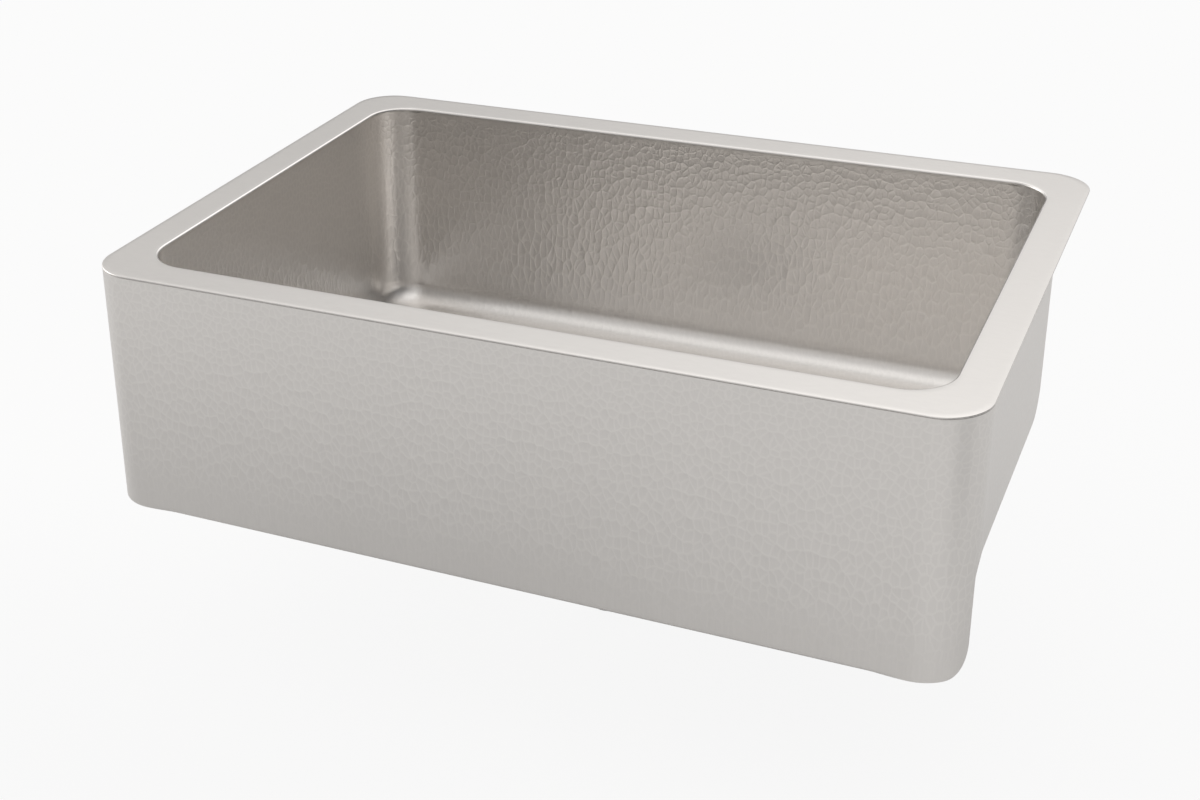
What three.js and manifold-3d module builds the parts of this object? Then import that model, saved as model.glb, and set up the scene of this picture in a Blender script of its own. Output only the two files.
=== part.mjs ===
// Farmhouse apron front sink in hammered stainless steel, with its basket strainer and outlet.
// Millimetres, +Z up, +X to the right, the apron's face towards -Y.
// The origin is the middle of the back rim, on the underside that rests on the cabinet.

import * as THREE from 'three';
import { mergeVertices } from 'three/addons/utils/BufferGeometryUtils.js';
import Module from 'manifold-3d';

const wasm = await Module();
wasm.setup();

// ---------- driving dimensions ----------

const SEAT_GAP = 0.3;          // left between two pieces that touch

// rim
const WIDTH = 762;
const DEPTH = 541;
const RIM_SIDE = 34;
const RIM_FRONT = 36.5;
const RIM_BACK = 37.5;
const DECK_SHEET = 1.5;
const OUTER_CORNER = 40;
const INNER_CORNER = 39;
const LIP_ROLL = 2;
const LIP_DROP = 3.5;

// bowl
const BOWL_SHEET = 1.5;
const FLOOR_DEPTH = 222;       // from the rim's top to the floor at the foot of the walls
const FLOOR_FALL = 3;          // from there to the drain
const FLOOR_FILLET = 25;
const RECESS_DEPTH = 3.5;
const RECESS_SLOPE = 3;
const RECESS_CLEARANCE = 1.5;  // round the strainer's flange
const HOLE_RADIUS = 44.5;

// apron
const APRON_SHEET = 1.5;
const APRON_HEIGHT = 224.5;    // from the rim's top
const RETURN_DEPTH = 292;      // from the front face to the back of the upper return
const RETURN_HEIGHT = 127;
const RETURN_CORNER = 25.4;
const CHEEK_WRAP = 54;         // sheet round the corner below the upper return
const CHEEK_CORNER = 25.4;
const THROAT_FILLET = 19;
const HEM_BEND = 3;
const HEM_WIDTH = 14;
const HEM_RELIEF = 1;

// stays between the bowl and the apron
const STAY_SHEET = 1.5;
const STAY_WIDTH = 40;
const STAY_SPACING = 420;
const STAY_LEVEL = 165;        // from the rim's top to the stay's web
const STAY_BOWL_LEG = 30;
const STAY_APRON_LEG = 26;

// sound pads
const PAD_THICKNESS = 3;
const PAD_MARGIN = 22;
const PAD_CORNER = 12;
const SIDE_PAD_HEIGHT = 120;
const SIDE_PAD_LENGTH = 300;
const BACK_PAD_LENGTH = 480;
const FRONT_PAD_LENGTH = 260;
const WALL_PAD_LEVEL = 48;     // from the rim's top to the top of each wall pad

// strainer
const FLANGE_RADIUS = 57;
const FLANGE_SHEET = 1.2;
const FLANGE_CROWN = 1.4;
const LEDGE_RADIUS = 45.5;
const CUP_RADIUS = 42.6;
const CUP_WALL = 1.6;
const CUP_DEPTH = 40;
const CUP_FLOOR = 3;
const NECK_RADIUS = 23.6;
const NECK_BORE = 20;
const NECK_LENGTH = 26;
const SPOKES = 4;
const SPOKE_WIDTH = 3;
const SPIDER_DROP = 5;
const HUB_RADIUS = 6;
const FLANGE_EDGE = 2;
const FLANGE_EDGE_BREAK = 0.3;
const LEDGE_SLOPE = 1.5;
const CHAMFER = 1;
const CUP_FILLET = 6;
const NECK_FLARE = 4;
const SPOKE_BITE = 0.5;        // how far a spoke's end lies in the neck's wall
const SEAL_MARGIN = 1;         // how far the sealing rings stay back from the edges
const SEAL_THICKNESS = 1.5;
const GASKET_THICKNESS = 4;
const GASKET_RADIUS = 55;
const FRICTION_THICKNESS = 1;
const LOCKNUT_RADIUS = 52;
const LOCKNUT_HEIGHT = 11;
const LOCKNUT_LUGS = 8;
const LUG_HEIGHT = 5;
const LUG_SHARE = 0.625;        // share of the nut's half pitch that a lug's top takes
const LUG_FOOT = 1.4;           // a lug's width at its foot over its width at the top

// outlet
const TAILPIECE_RADIUS = 19.05;
const TAILPIECE_WALL = 1.2;
const TAILPIECE_LENGTH = 102;
const TAILPIECE_FLANGE = 23.2;
const WASHER_THICKNESS = 1.6;
const COUPLING_RADIUS = 28;
const COUPLING_HEIGHT = 20;
const COUPLING_LIP = 2.5;
const COUPLING_LUGS = 6;
const COUPLING_LUG_HEIGHT = 2.5;

// basket
const BASKET_RIM = 44.6;
const BASKET_TOP_RADIUS = 39;
const BASKET_FOOT_RADIUS = 35;
const BASKET_DEPTH = 24;
const BASKET_SHEET = 1;
const BASKET_FILLET = 4;
const SLOT_COUNT = 20;
const SLOT_WIDTH = 3;
const SLOT_LENGTH = 11;
const FLOOR_HOLE_RADIUS = 2.4;
const INNER_HOLES = 8;
const OUTER_HOLES = 14;
const GUIDE_RADIUS = 6;
const GUIDE_HEIGHT = 6;
const GUIDE_WALL = 1.8;
const GUIDE_TAPER = 1;
const INNER_HOLE_RING = 14;
const OUTER_HOLE_RING = 25.4;

// stopper
const POST_RADIUS = 2.5;
const POST_COLLAR = 2;         // how far the post's collar stands out of it
const POST_SHORT = 0.5;        // how far the post's end stays inside its nut
const POST_IN_KNOB = 7.8;
const SLIDE_CLEARANCE = 0.35;
const STOPPER_TRAVEL = 10;
const STOPPER_RADIUS = 27;
const STOPPER_THICKNESS = 3;
const STOPPER_LIP = 1;
const STOPPER_SHOULDER = 3;    // width of the seal's flat top outside its washer
const STOPPER_WASHER_RADIUS = 15;
const STOPPER_WASHER_THICKNESS = 1;
const STOPPER_NUT_RADIUS = 4.6;
const STOPPER_NUT_HEIGHT = 3;
const KNOB_RADIUS = 11;
const KNOB_HEIGHT = 13;
const KNOB_RISE = 14;          // knob's underside above the basket's rim
// the knob from its foot to its crown, as shares of its radius and height
const KNOB_PROFILE = [[0.5, 0], [0.45, 0.3], [0.9, 0.5], [1, 0.65], [0.93, 0.88], [0.6, 1]];

// how finely round shapes are divided
const CORNER_STEPS = 8;
const SIDE_STEPS = 6;
const LONG_STEPS = 8;
const RING_STEPS = 2 * SIDE_STEPS + 2 * LONG_STEPS + 4 * CORNER_STEPS;
const TURN_STEPS = 32;
const BASKET_STEPS = 2 * SLOT_COUNT;
const SMALL_STEPS = 24;
const LIP_STEPS = 4;
const LIP_BACK_STEPS = 3;
const FOOT_STEPS = 6;          // the round foot of the bowl's walls
const FRONT_COLUMNS = 4;       // of the apron's sheet, from its middle to a corner
const WRAP_COLUMNS = 4;
const HEM_STEPS = 4;
const THROAT_STEPS = 5;
const SHEET_CORNER_STEPS = 6;
const SHORT_ARC_STEPS = 3;
const TIP_ARC_STEPS = 2;
const PAD_CORNER_STEPS = 4;
const HOLE_SIDES = 8;
const LEAST_BEND = 0.2;        // smallest inside radius of a bend
const OVERSHOOT = 1;           // how far a cutter runs past what it cuts

// ---------- levels and places worked out from them ----------

const zTop = DECK_SHEET;
const yBack = RIM_BACK / 2;
const yFront = yBack - DEPTH;
const opening = {
  x: WIDTH / 2 - RIM_SIDE,
  front: yFront + RIM_FRONT,
  back: yBack - RIM_BACK,
};
const drainY = (opening.front + opening.back) / 2;
const floorFillet = Math.min(FLOOR_FILLET, INNER_CORNER - 1);
const zFoot = zTop - FLOOR_DEPTH;
const zDrainFloor = zFoot - FLOOR_FALL;
const zRecess = zDrainFloor - RECESS_DEPTH;
const recessRadius = FLANGE_RADIUS + RECESS_CLEARANCE;
const zFlange = zRecess + 2 * SEAT_GAP + SEAL_THICKNESS;
const zLedge = zFlange + FLANGE_SHEET;
const zCupFloor = zFlange - CUP_DEPTH;
const zNeckEnd = zCupFloor - CUP_FLOOR - NECK_LENGTH;
const cupBore = CUP_RADIUS - CUP_WALL;
const zBasketRim = zLedge + SEAT_GAP;
const zBasketFloor = zBasketRim + BASKET_SHEET - BASKET_DEPTH;
const zUnderBowl = zRecess - BOWL_SHEET;
const bowlFrontWall = opening.front - BOWL_SHEET;
const apronInside = yFront + APRON_SHEET;

// ---------- geometry helpers ----------

const hammered = new THREE.MeshStandardMaterial({ color: 0x9c9890, roughness: 0.36, metalness: 1 });
const brushed = new THREE.MeshStandardMaterial({ color: 0xb9b6b0, roughness: 0.3, metalness: 1 });
const polished = new THREE.MeshStandardMaterial({ color: 0xc8c8c8, roughness: 0.16, metalness: 1 });
const castMetal = new THREE.MeshStandardMaterial({ color: 0x8f9092, roughness: 0.5, metalness: 1 });
const padRubber = new THREE.MeshStandardMaterial({ color: 0x2b2b2c, roughness: 0.85, metalness: 0 });
const sealRubber = new THREE.MeshStandardMaterial({ color: 0x1b1b1b, roughness: 0.7, metalness: 0 });
const fibre = new THREE.MeshStandardMaterial({ color: 0xa98a62, roughness: 0.9, metalness: 0 });
const whiteBush = new THREE.MeshStandardMaterial({ color: 0xdad8d2, roughness: 0.5, metalness: 0 });

const sink = new THREE.Group();

function place(name, geometry, material, parent = sink) {
  const mesh = new THREE.Mesh(geometry, material);
  mesh.name = name;
  parent.add(mesh);
  return mesh;
}

function range(count) {
  return Array.from({ length: count }, (_, i) => i);
}

function triangleVolume(positions, index) {
  let total = 0;
  const [a, b, c] = [new THREE.Vector3(), new THREE.Vector3(), new THREE.Vector3()];
  for (let i = 0; i < index.length; i += 3) {
    a.fromArray(positions, 3 * index[i]);
    b.fromArray(positions, 3 * index[i + 1]);
    c.fromArray(positions, 3 * index[i + 2]);
    total += a.dot(b.cross(c)) / 6;
  }
  return total;
}

// A closed geometry from points and triangles, its faces turned outwards.
function closedGeometry(points, index) {
  const positions = points.flat();
  const outward = triangleVolume(positions, index) > 0;
  const order = outward ? index : range(index.length).map((i) => index[i - (i % 3) + 2 - (i % 3)]);
  const geometry = new THREE.BufferGeometry();
  geometry.setAttribute('position', new THREE.Float32BufferAttribute(positions, 3));
  geometry.setIndex(order);
  geometry.computeVertexNormals();
  return geometry;
}

function toSolid(geometry) {
  const bare = geometry.clone();
  bare.deleteAttribute('normal');
  bare.deleteAttribute('uv');
  const merged = mergeVertices(bare, 1e-4);
  return new wasm.Manifold(new wasm.Mesh({
    numProp: 3,
    vertProperties: new Float32Array(merged.attributes.position.array),
    triVerts: new Uint32Array(merged.index.array),
  }));
}

function fromSolid(solid) {
  const mesh = solid.getMesh();
  const geometry = new THREE.BufferGeometry();
  geometry.setAttribute('position', new THREE.BufferAttribute(mesh.vertProperties, 3));
  geometry.setIndex(new THREE.BufferAttribute(mesh.triVerts, 1));
  geometry.computeVertexNormals();
  return geometry;
}

function cutAway(geometry, cutters) {
  return fromSolid(cutters.reduce((solid, cutter) => solid.subtract(toSolid(cutter)), toSolid(geometry)));
}

// A rounded rectangle of RING_STEPS points, anticlockwise from the middle of its +X side.
function roundedRing({ x, front, back }, corner, grow, z) {
  const right = x + grow;
  const low = front - grow;
  const high = back + grow;
  const r = corner + grow;
  const corners = [
    [right - r, high - r, 0],
    [r - right, high - r, 1],
    [r - right, low + r, 2],
    [right - r, low + r, 3],
  ];
  const arcs = corners.map(([cx, cy, quarter]) => range(CORNER_STEPS + 1).map((i) => {
    const angle = (quarter + i / CORNER_STEPS) * Math.PI / 2;
    return [cx + r * Math.cos(angle), cy + r * Math.sin(angle), z];
  }));
  const ring = [];
  arcs.forEach((arc, quarter) => {
    const next = arcs[(quarter + 1) % 4][0];
    const last = arc[CORNER_STEPS];
    const steps = quarter % 2 ? SIDE_STEPS : LONG_STEPS;
    ring.push(...arc);
    for (let i = 1; i < steps; i += 1) {
      ring.push([0, 1, 2].map((k) => last[k] + (next[k] - last[k]) * i / steps));
    }
  });
  const turn = ring.length - SIDE_STEPS / 2;
  return [...ring.slice(turn), ...ring.slice(0, turn)];
}

function circleRing(radius, z) {
  return range(RING_STEPS).map((i) => {
    const angle = 2 * Math.PI * i / RING_STEPS;
    return [radius * Math.cos(angle), drainY + radius * Math.sin(angle), z];
  });
}

// A tube-like skin through rings of equal count that closes on itself.
function loftRings(rings) {
  const count = rings[0].length;
  const index = [];
  rings.forEach((_, r) => {
    const here = r * count;
    const there = ((r + 1) % rings.length) * count;
    for (let i = 0; i < count; i += 1) {
      const j = (i + 1) % count;
      index.push(here + i, here + j, there + j, here + i, there + j, there + i);
    }
  });
  return closedGeometry(rings.flat(), index);
}

// A profile of [radius, height] turned about a vertical axis. It closes on itself,
// or starts and ends on the axis.
function turned(profile, steps = TURN_STEPS) {
  const onAxis = profile[0][0] === 0;
  const outline = onAxis ? profile : [...profile, profile[0]];
  const geometry = new THREE.LatheGeometry(outline.map(([r, z]) => new THREE.Vector2(r, z)), steps);
  geometry.rotateX(Math.PI / 2);
  geometry.deleteAttribute('normal');
  geometry.deleteAttribute('uv');
  const merged = mergeVertices(geometry, 1e-4);
  const source = merged.index.array;
  const index = [];
  for (let i = 0; i < source.length; i += 3) {
    const [a, b, c] = source.slice(i, i + 3);
    if (a !== b && b !== c && c !== a) index.push(a, b, c);
  }
  const points = range(merged.attributes.position.count).map((i) => [
    merged.attributes.position.getX(i),
    merged.attributes.position.getY(i),
    merged.attributes.position.getZ(i),
  ]);
  return closedGeometry(points, index);
}

function turnedRing(inner, outer, low, high) {
  return turned([[inner, low], [outer, low], [outer, high], [inner, high]]);
}

function arcPoints(cx, cy, radius, from, to, steps) {
  return range(steps + 1).map((i) => {
    const angle = THREE.MathUtils.degToRad(from + (to - from) * i / steps);
    return [cx + radius * Math.cos(angle), cy + radius * Math.sin(angle)];
  });
}

function roundedPlate(width, height, corner, thickness) {
  const [x, y] = [width / 2 - corner, height / 2 - corner];
  const shape = new THREE.Shape();
  shape.absarc(x, y, corner, 0, Math.PI / 2);
  shape.absarc(-x, y, corner, Math.PI / 2, Math.PI);
  shape.absarc(-x, -y, corner, Math.PI, 1.5 * Math.PI);
  shape.absarc(x, -y, corner, 1.5 * Math.PI, 2 * Math.PI);
  return new THREE.ExtrudeGeometry(shape, {
    depth: thickness, bevelEnabled: false, curveSegments: PAD_CORNER_STEPS,
  });
}

// ---------- rim ----------

function rimDeck() {
  const edge = { x: WIDTH / 2, front: yFront, back: yBack };
  const outer = (z) => roundedRing(edge, OUTER_CORNER, 0, z);
  const inner = ([grow, z]) => roundedRing(opening, INNER_CORNER, grow, z);
  const centre = zTop - LIP_ROLL;
  const face = arcPoints(LIP_ROLL, centre, LIP_ROLL, 90, 180, LIP_STEPS);
  const insideRoll = Math.max(LIP_ROLL - DECK_SHEET, LEAST_BEND);
  const underside = arcPoints(LIP_ROLL, centre, insideRoll, 180, 90, LIP_BACK_STEPS);
  const lipFoot = zTop - LIP_DROP;
  const profile = [...face, [0, lipFoot], [underside[0][0], lipFoot], ...underside];
  return loftRings([outer(zTop), ...profile.map(inner), outer(zTop - DECK_SHEET)]);
}

// ---------- bowl ----------

// The floor's outer and inner edges, offset downwards through the sheet.
function floorRings(offset) {
  const foot = roundedRing(opening, INNER_CORNER, -floorFillet, zFoot - offset);
  const shoulder = circleRing(recessRadius + RECESS_SLOPE + offset / 2, zDrainFloor - offset);
  return [foot, shoulder];
}

function bowlSkin(offset) {
  const wallTop = zTop - LIP_DROP - SEAT_GAP;
  const bend = arcPoints(-floorFillet, zFoot + floorFillet, floorFillet + offset, 0, -90, FOOT_STEPS);
  return [
    roundedRing(opening, INNER_CORNER, offset, wallTop),
    ...bend.slice(0, -1).map(([grow, z]) => roundedRing(opening, INNER_CORNER, grow, z)),
    ...floorRings(offset),
    circleRing(recessRadius + offset / 2, zRecess - offset),
    circleRing(HOLE_RADIUS, zRecess - offset),
  ];
}

function bowl() {
  return loftRings([...bowlSkin(0), ...bowlSkin(BOWL_SHEET).reverse()]);
}

// ---------- apron ----------

const wrapStart = WIDTH / 2 - OUTER_CORNER;
const wrapLength = OUTER_CORNER * Math.PI / 2;
const hemStart = APRON_HEIGHT - HEM_BEND;

// Where a point of the flat sheet lies once it is bent: along is measured from the middle of
// the front, down from the rim's top, and inset through the sheet from its face.
function bentPoint(along, down, inset) {
  const side = Math.sign(along);
  const past = Math.abs(along) - wrapStart;
  if (past <= 0) {
    const turn = Math.max(down - hemStart, 0) / HEM_BEND;
    const bend = Math.min(turn, Math.PI / 2);
    const flat = (turn - bend) * HEM_BEND;
    const r = HEM_BEND - inset;
    const z = turn > 0 ? -hemStart - r * Math.sin(bend) : -down;
    return [along, yFront + HEM_BEND - r * Math.cos(bend) + flat, zTop + z];
  }
  const angle = Math.min(past / OUTER_CORNER, Math.PI / 2);
  const r = OUTER_CORNER - inset;
  const straight = Math.max(past - wrapLength, 0);
  const x = wrapStart + r * Math.sin(angle);
  return [side * x, yFront + OUTER_CORNER - r * Math.cos(angle) + straight, zTop - down];
}

// Columns of the flat sheet for the right half. Each gives how far down the sheet's rows
// lie in the strip to its left and in the strip to its right.
function apronColumns() {
  const top = DECK_SHEET + SEAT_GAP;
  const middle = RETURN_HEIGHT + THROAT_FILLET;
  const cheekEnd = wrapStart + CHEEK_WRAP;
  const returnEnd = wrapStart + wrapLength + RETURN_DEPTH - OUTER_CORNER;
  const bendLength = HEM_BEND * Math.PI / 2;
  const bendRows = range(HEM_STEPS + 1).map((i) => hemStart + bendLength * i / HEM_STEPS);
  const hemRows = [top, middle, ...bendRows, hemStart + bendLength + HEM_WIDTH - HEM_BEND];
  const frontEdge = wrapStart - HEM_RELIEF;
  const columns = [];
  const add = (along, left, right = left) => columns.push({ along, left, right });
  range(FRONT_COLUMNS).forEach((i) => add(frontEdge * i / FRONT_COLUMNS, hemRows));
  add(frontEdge, hemRows, [top, middle, hemStart]);
  add(wrapStart, [top, middle, hemStart], [top, middle, hemStart, APRON_HEIGHT]);
  const cheekStart = cheekEnd - CHEEK_CORNER;
  range(WRAP_COLUMNS).forEach((i) => {
    const along = wrapStart + (cheekStart - wrapStart) * (i + 1) / WRAP_COLUMNS;
    add(along, [top, middle, APRON_HEIGHT]);
  });
  arcPoints(cheekStart, APRON_HEIGHT - CHEEK_CORNER, CHEEK_CORNER, 90, 0, SHEET_CORNER_STEPS).slice(1, -1)
    .forEach(([along, down]) => add(along, [top, middle, down]));
  add(cheekEnd, [top, middle, APRON_HEIGHT - CHEEK_CORNER], [top, middle]);
  arcPoints(cheekEnd + THROAT_FILLET, middle, THROAT_FILLET, 180, 270, THROAT_STEPS).slice(1)
    .forEach(([along, down]) => add(along, [top, down]));
  const rear = [returnEnd - RETURN_CORNER, RETURN_HEIGHT - RETURN_CORNER];
  arcPoints(...rear, RETURN_CORNER, 90, 0, SHEET_CORNER_STEPS)
    .forEach(([along, down]) => add(along, [top, down]));
  return columns;
}

function apron() {
  const half = apronColumns();
  const mirrored = half.slice(1).reverse()
    .map(({ along, left, right }) => ({ along: -along, left: right, right: left }));
  const columns = [...mirrored, ...half];
  const flat = [];
  const known = new Map();
  const corner = (along, down) => {
    const key = `${along.toFixed(4)} ${down.toFixed(4)}`;
    if (!known.has(key)) {
      known.set(key, flat.length);
      flat.push([along, down]);
    }
    return known.get(key);
  };
  const faces = [];
  columns.slice(0, -1).forEach((column, i) => {
    const next = columns[i + 1];
    const near = column.right.map((down) => corner(column.along, down));
    const far = next.left.map((down) => corner(next.along, down));
    let [a, b] = [0, 0];
    while (a < near.length - 1 || b < far.length - 1) {
      const stepNear = b === far.length - 1
        || (a < near.length - 1 && column.right[a + 1] <= next.left[b + 1]);
      faces.push(stepNear ? [near[a], near[a + 1], far[b]] : [near[a], far[b + 1], far[b]]);
      if (stepNear) a += 1;
      else b += 1;
    }
  });
  return thickenSheet(flat, faces, APRON_SHEET);
}

// Two skins a sheet's thickness apart, joined round every free edge.
function thickenSheet(flat, faces, thickness) {
  const count = flat.length;
  const skins = [0, thickness];
  const points = skins.flatMap((inset) => flat.map(([along, down]) => bentPoint(along, down, inset)));
  const edges = new Set(faces.flatMap(([a, b, c]) => [`${a} ${b}`, `${b} ${c}`, `${c} ${a}`]));
  const index = [];
  faces.forEach(([a, b, c]) => index.push(a, b, c, count + c, count + b, count + a));
  edges.forEach((edge) => {
    const [a, b] = edge.split(' ').map(Number);
    if (!edges.has(`${b} ${a}`)) index.push(b, a, count + a, b, count + a, count + b);
  });
  return closedGeometry(points, index);
}

// ---------- stays ----------

function apronStay() {
  const t = STAY_SHEET;
  const back = bowlFrontWall - SEAT_GAP;
  const front = apronInside + SEAT_GAP;
  const level = zTop - STAY_LEVEL;
  const outline = [
    [back, level], [back, level + STAY_BOWL_LEG], [back - t, level + STAY_BOWL_LEG],
    [back - t, level + t], [front, level + t], [front, level + t - STAY_APRON_LEG],
    [front + t, level + t - STAY_APRON_LEG], [front + t, level],
  ];
  const shape = new THREE.Shape(outline.map(([y, z]) => new THREE.Vector2(y, z)));
  const geometry = new THREE.ExtrudeGeometry(shape, { depth: STAY_WIDTH, bevelEnabled: false });
  geometry.translate(0, 0, -STAY_WIDTH / 2);
  geometry.applyMatrix4(new THREE.Matrix4().makeBasis(
    new THREE.Vector3(0, 1, 0),
    new THREE.Vector3(0, 0, 1),
    new THREE.Vector3(1, 0, 0),
  ));
  return geometry;
}

// ---------- sound pads ----------

// A pad on a wall: wide along the wall, its face PAD_THICKNESS out from it.
function wallPad(length) {
  return roundedPlate(length, SIDE_PAD_HEIGHT, PAD_CORNER, PAD_THICKNESS);
}

function floorPad(side) {
  const gap = BOWL_SHEET + SEAT_GAP;
  const layer = loftRings([...floorRings(gap), ...floorRings(gap + PAD_THICKNESS).reverse()]);
  const inner = recessRadius + RECESS_SLOPE + PAD_MARGIN;
  const outer = opening.x - floorFillet - PAD_MARGIN;
  const length = opening.back - opening.front - 2 * (floorFillet + PAD_MARGIN);
  const height = FLOOR_FALL + 4 * PAD_THICKNESS + gap;
  const plate = roundedPlate(outer - inner, length, PAD_CORNER, 2 * height);
  plate.translate(side * (inner + outer) / 2, drainY, zDrainFloor - height);
  return fromSolid(toSolid(layer).intersect(toSolid(plate)));
}

function addPads() {
  place('pad_floor_left', floorPad(-1), padRubber);
  place('pad_floor_right', floorPad(1), padRubber);
  const z = zTop - WALL_PAD_LEVEL - SIDE_PAD_HEIGHT / 2;
  const out = BOWL_SHEET + SEAT_GAP;
  [['pad_side_left', -1], ['pad_side_right', 1]].forEach(([name, side]) => {
    const pad = place(name, wallPad(SIDE_PAD_LENGTH), padRubber);
    pad.position.set(side * (opening.x + out), drainY, z);
    pad.quaternion.setFromRotationMatrix(new THREE.Matrix4().makeBasis(
      new THREE.Vector3(0, side, 0),
      new THREE.Vector3(0, 0, 1),
      new THREE.Vector3(side, 0, 0),
    ));
  });
  const back = place('pad_back', wallPad(BACK_PAD_LENGTH), padRubber);
  back.position.set(0, opening.back + out, z);
  back.rotation.set(Math.PI / 2, Math.PI, 0);
  const front = place('pad_front', wallPad(FRONT_PAD_LENGTH), padRubber);
  front.position.set(0, opening.front - out, z);
  front.rotation.set(Math.PI / 2, 0, 0);
}

// ---------- strainer ----------

const drain = new THREE.Group();
drain.position.set(0, drainY, 0);
sink.add(drain);

function strainerBody() {
  const rimEdge = zFlange + FLANGE_SHEET;
  const neckTop = zCupFloor - CUP_FLOOR;
  const outerFillet = CUP_FILLET + CHAMFER;
  const body = turned([
    [FLANGE_RADIUS, zFlange],
    [FLANGE_RADIUS, rimEdge - FLANGE_EDGE_BREAK],
    [FLANGE_RADIUS - FLANGE_EDGE, rimEdge + FLANGE_CROWN],
    [LEDGE_RADIUS + LEDGE_SLOPE, rimEdge + FLANGE_CROWN],
    [LEDGE_RADIUS, zLedge],
    [cupBore + CHAMFER, zLedge],
    [cupBore, zLedge - CHAMFER],
    [cupBore, zCupFloor + CUP_FILLET],
    [cupBore - CUP_FILLET, zCupFloor],
    [NECK_BORE + CHAMFER, zCupFloor],
    [NECK_BORE, zCupFloor - CHAMFER],
    [NECK_BORE, zNeckEnd],
    [NECK_RADIUS, zNeckEnd],
    [NECK_RADIUS, neckTop - NECK_FLARE],
    [NECK_RADIUS + NECK_FLARE, neckTop],
    [CUP_RADIUS - outerFillet, neckTop],
    [CUP_RADIUS, neckTop + outerFillet],
    [CUP_RADIUS, zFlange],
  ]);
  const spiderTop = zCupFloor - SPIDER_DROP;
  const spokes = range(SPOKES / 2).map((i) => {
    const bar = new THREE.BoxGeometry(2 * (NECK_BORE + SPOKE_BITE), SPOKE_WIDTH, CUP_FLOOR);
    bar.rotateZ(2 * Math.PI * i / SPOKES);
    bar.translate(0, 0, spiderTop - CUP_FLOOR / 2);
    return bar;
  });
  const hub = turned([[0, spiderTop - CUP_FLOOR], [HUB_RADIUS, spiderTop - CUP_FLOOR],
    [HUB_RADIUS, spiderTop], [0, spiderTop]], SMALL_STEPS);
  return fromSolid([...spokes, hub].reduce((solid, piece) => solid.add(toSolid(piece)), toSolid(body)));
}

// A nut blank: a disc from low to high with tapered lugs standing out of its edge.
function luggedBlank(radius, lugs, lugHeight, low, high) {
  const shape = new THREE.Shape();
  const lugAngle = Math.PI / lugs * LUG_SHARE;
  const footAngle = lugAngle * LUG_FOOT;
  range(lugs).forEach((i) => {
    const middle = 2 * Math.PI * i / lugs;
    const next = 2 * Math.PI * (i + 1) / lugs;
    shape.absarc(0, 0, radius + lugHeight, middle - lugAngle / 2, middle + lugAngle / 2);
    shape.absarc(0, 0, radius, middle + footAngle / 2, next - footAngle / 2);
  });
  const options = { depth: high - low, bevelEnabled: false, curveSegments: TIP_ARC_STEPS };
  return new THREE.ExtrudeGeometry(shape, options).translate(0, 0, low);
}

function plug(radius, low, high) {
  return turned([[0, low], [radius, low], [radius, high], [0, high]]);
}

function addDrain() {
  place('strainer_body', strainerBody(), polished, drain);
  const seal = zRecess + SEAT_GAP;
  place('flange_seal', turnedRing(
    HOLE_RADIUS + SEAL_MARGIN, FLANGE_RADIUS - SEAL_MARGIN, seal, seal + SEAL_THICKNESS,
  ), sealRubber, drain);
  const ringBore = CUP_RADIUS + SEAT_GAP;
  const gasketTop = zUnderBowl - SEAT_GAP;
  const gasketLow = gasketTop - GASKET_THICKNESS;
  place('drain_gasket', turnedRing(ringBore, GASKET_RADIUS, gasketLow, gasketTop), sealRubber, drain);
  const frictionTop = gasketLow - SEAT_GAP;
  const frictionLow = frictionTop - FRICTION_THICKNESS;
  place('friction_ring', turnedRing(
    ringBore, GASKET_RADIUS - SEAL_MARGIN, frictionLow, frictionTop,
  ), fibre, drain);
  const nutTop = frictionLow - SEAT_GAP;
  const nutLow = nutTop - LOCKNUT_HEIGHT;
  const nut = luggedBlank(LOCKNUT_RADIUS, LOCKNUT_LUGS, LUG_HEIGHT, nutLow, nutTop);
  place('locknut', cutAway(nut, [plug(ringBore, nutLow - OVERSHOOT, nutTop + OVERSHOOT)]), castMetal, drain);
}

// ---------- outlet ----------

function addOutlet() {
  const pipeBore = TAILPIECE_RADIUS - TAILPIECE_WALL;
  const washerTop = zNeckEnd - SEAT_GAP;
  const washerLow = washerTop - WASHER_THICKNESS;
  place('tailpiece_washer', turnedRing(
    TAILPIECE_RADIUS, TAILPIECE_FLANGE, washerLow, washerTop,
  ), sealRubber, drain);
  const top = washerLow - SEAT_GAP;
  const flangeLow = top - TAILPIECE_WALL;
  place('tailpiece', turned([
    [pipeBore, top - TAILPIECE_LENGTH],
    [TAILPIECE_RADIUS, top - TAILPIECE_LENGTH],
    [TAILPIECE_RADIUS, flangeLow],
    [TAILPIECE_FLANGE, flangeLow],
    [TAILPIECE_FLANGE, top],
    [pipeBore, top],
  ]), polished, drain);
  const bore = NECK_RADIUS + SEAT_GAP;
  const nutLow = flangeLow - SEAT_GAP - COUPLING_LIP;
  const nutTop = nutLow + COUPLING_HEIGHT;
  const blank = luggedBlank(COUPLING_RADIUS, COUPLING_LUGS, COUPLING_LUG_HEIGHT, nutLow, nutTop);
  const bores = [
    plug(TAILPIECE_RADIUS + SEAT_GAP, nutLow - OVERSHOOT, nutTop),
    plug(bore, nutLow + COUPLING_LIP, nutTop + OVERSHOOT),
  ];
  place('coupling_nut', cutAway(blank, bores), polished, drain);
}

// ---------- basket ----------

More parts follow.
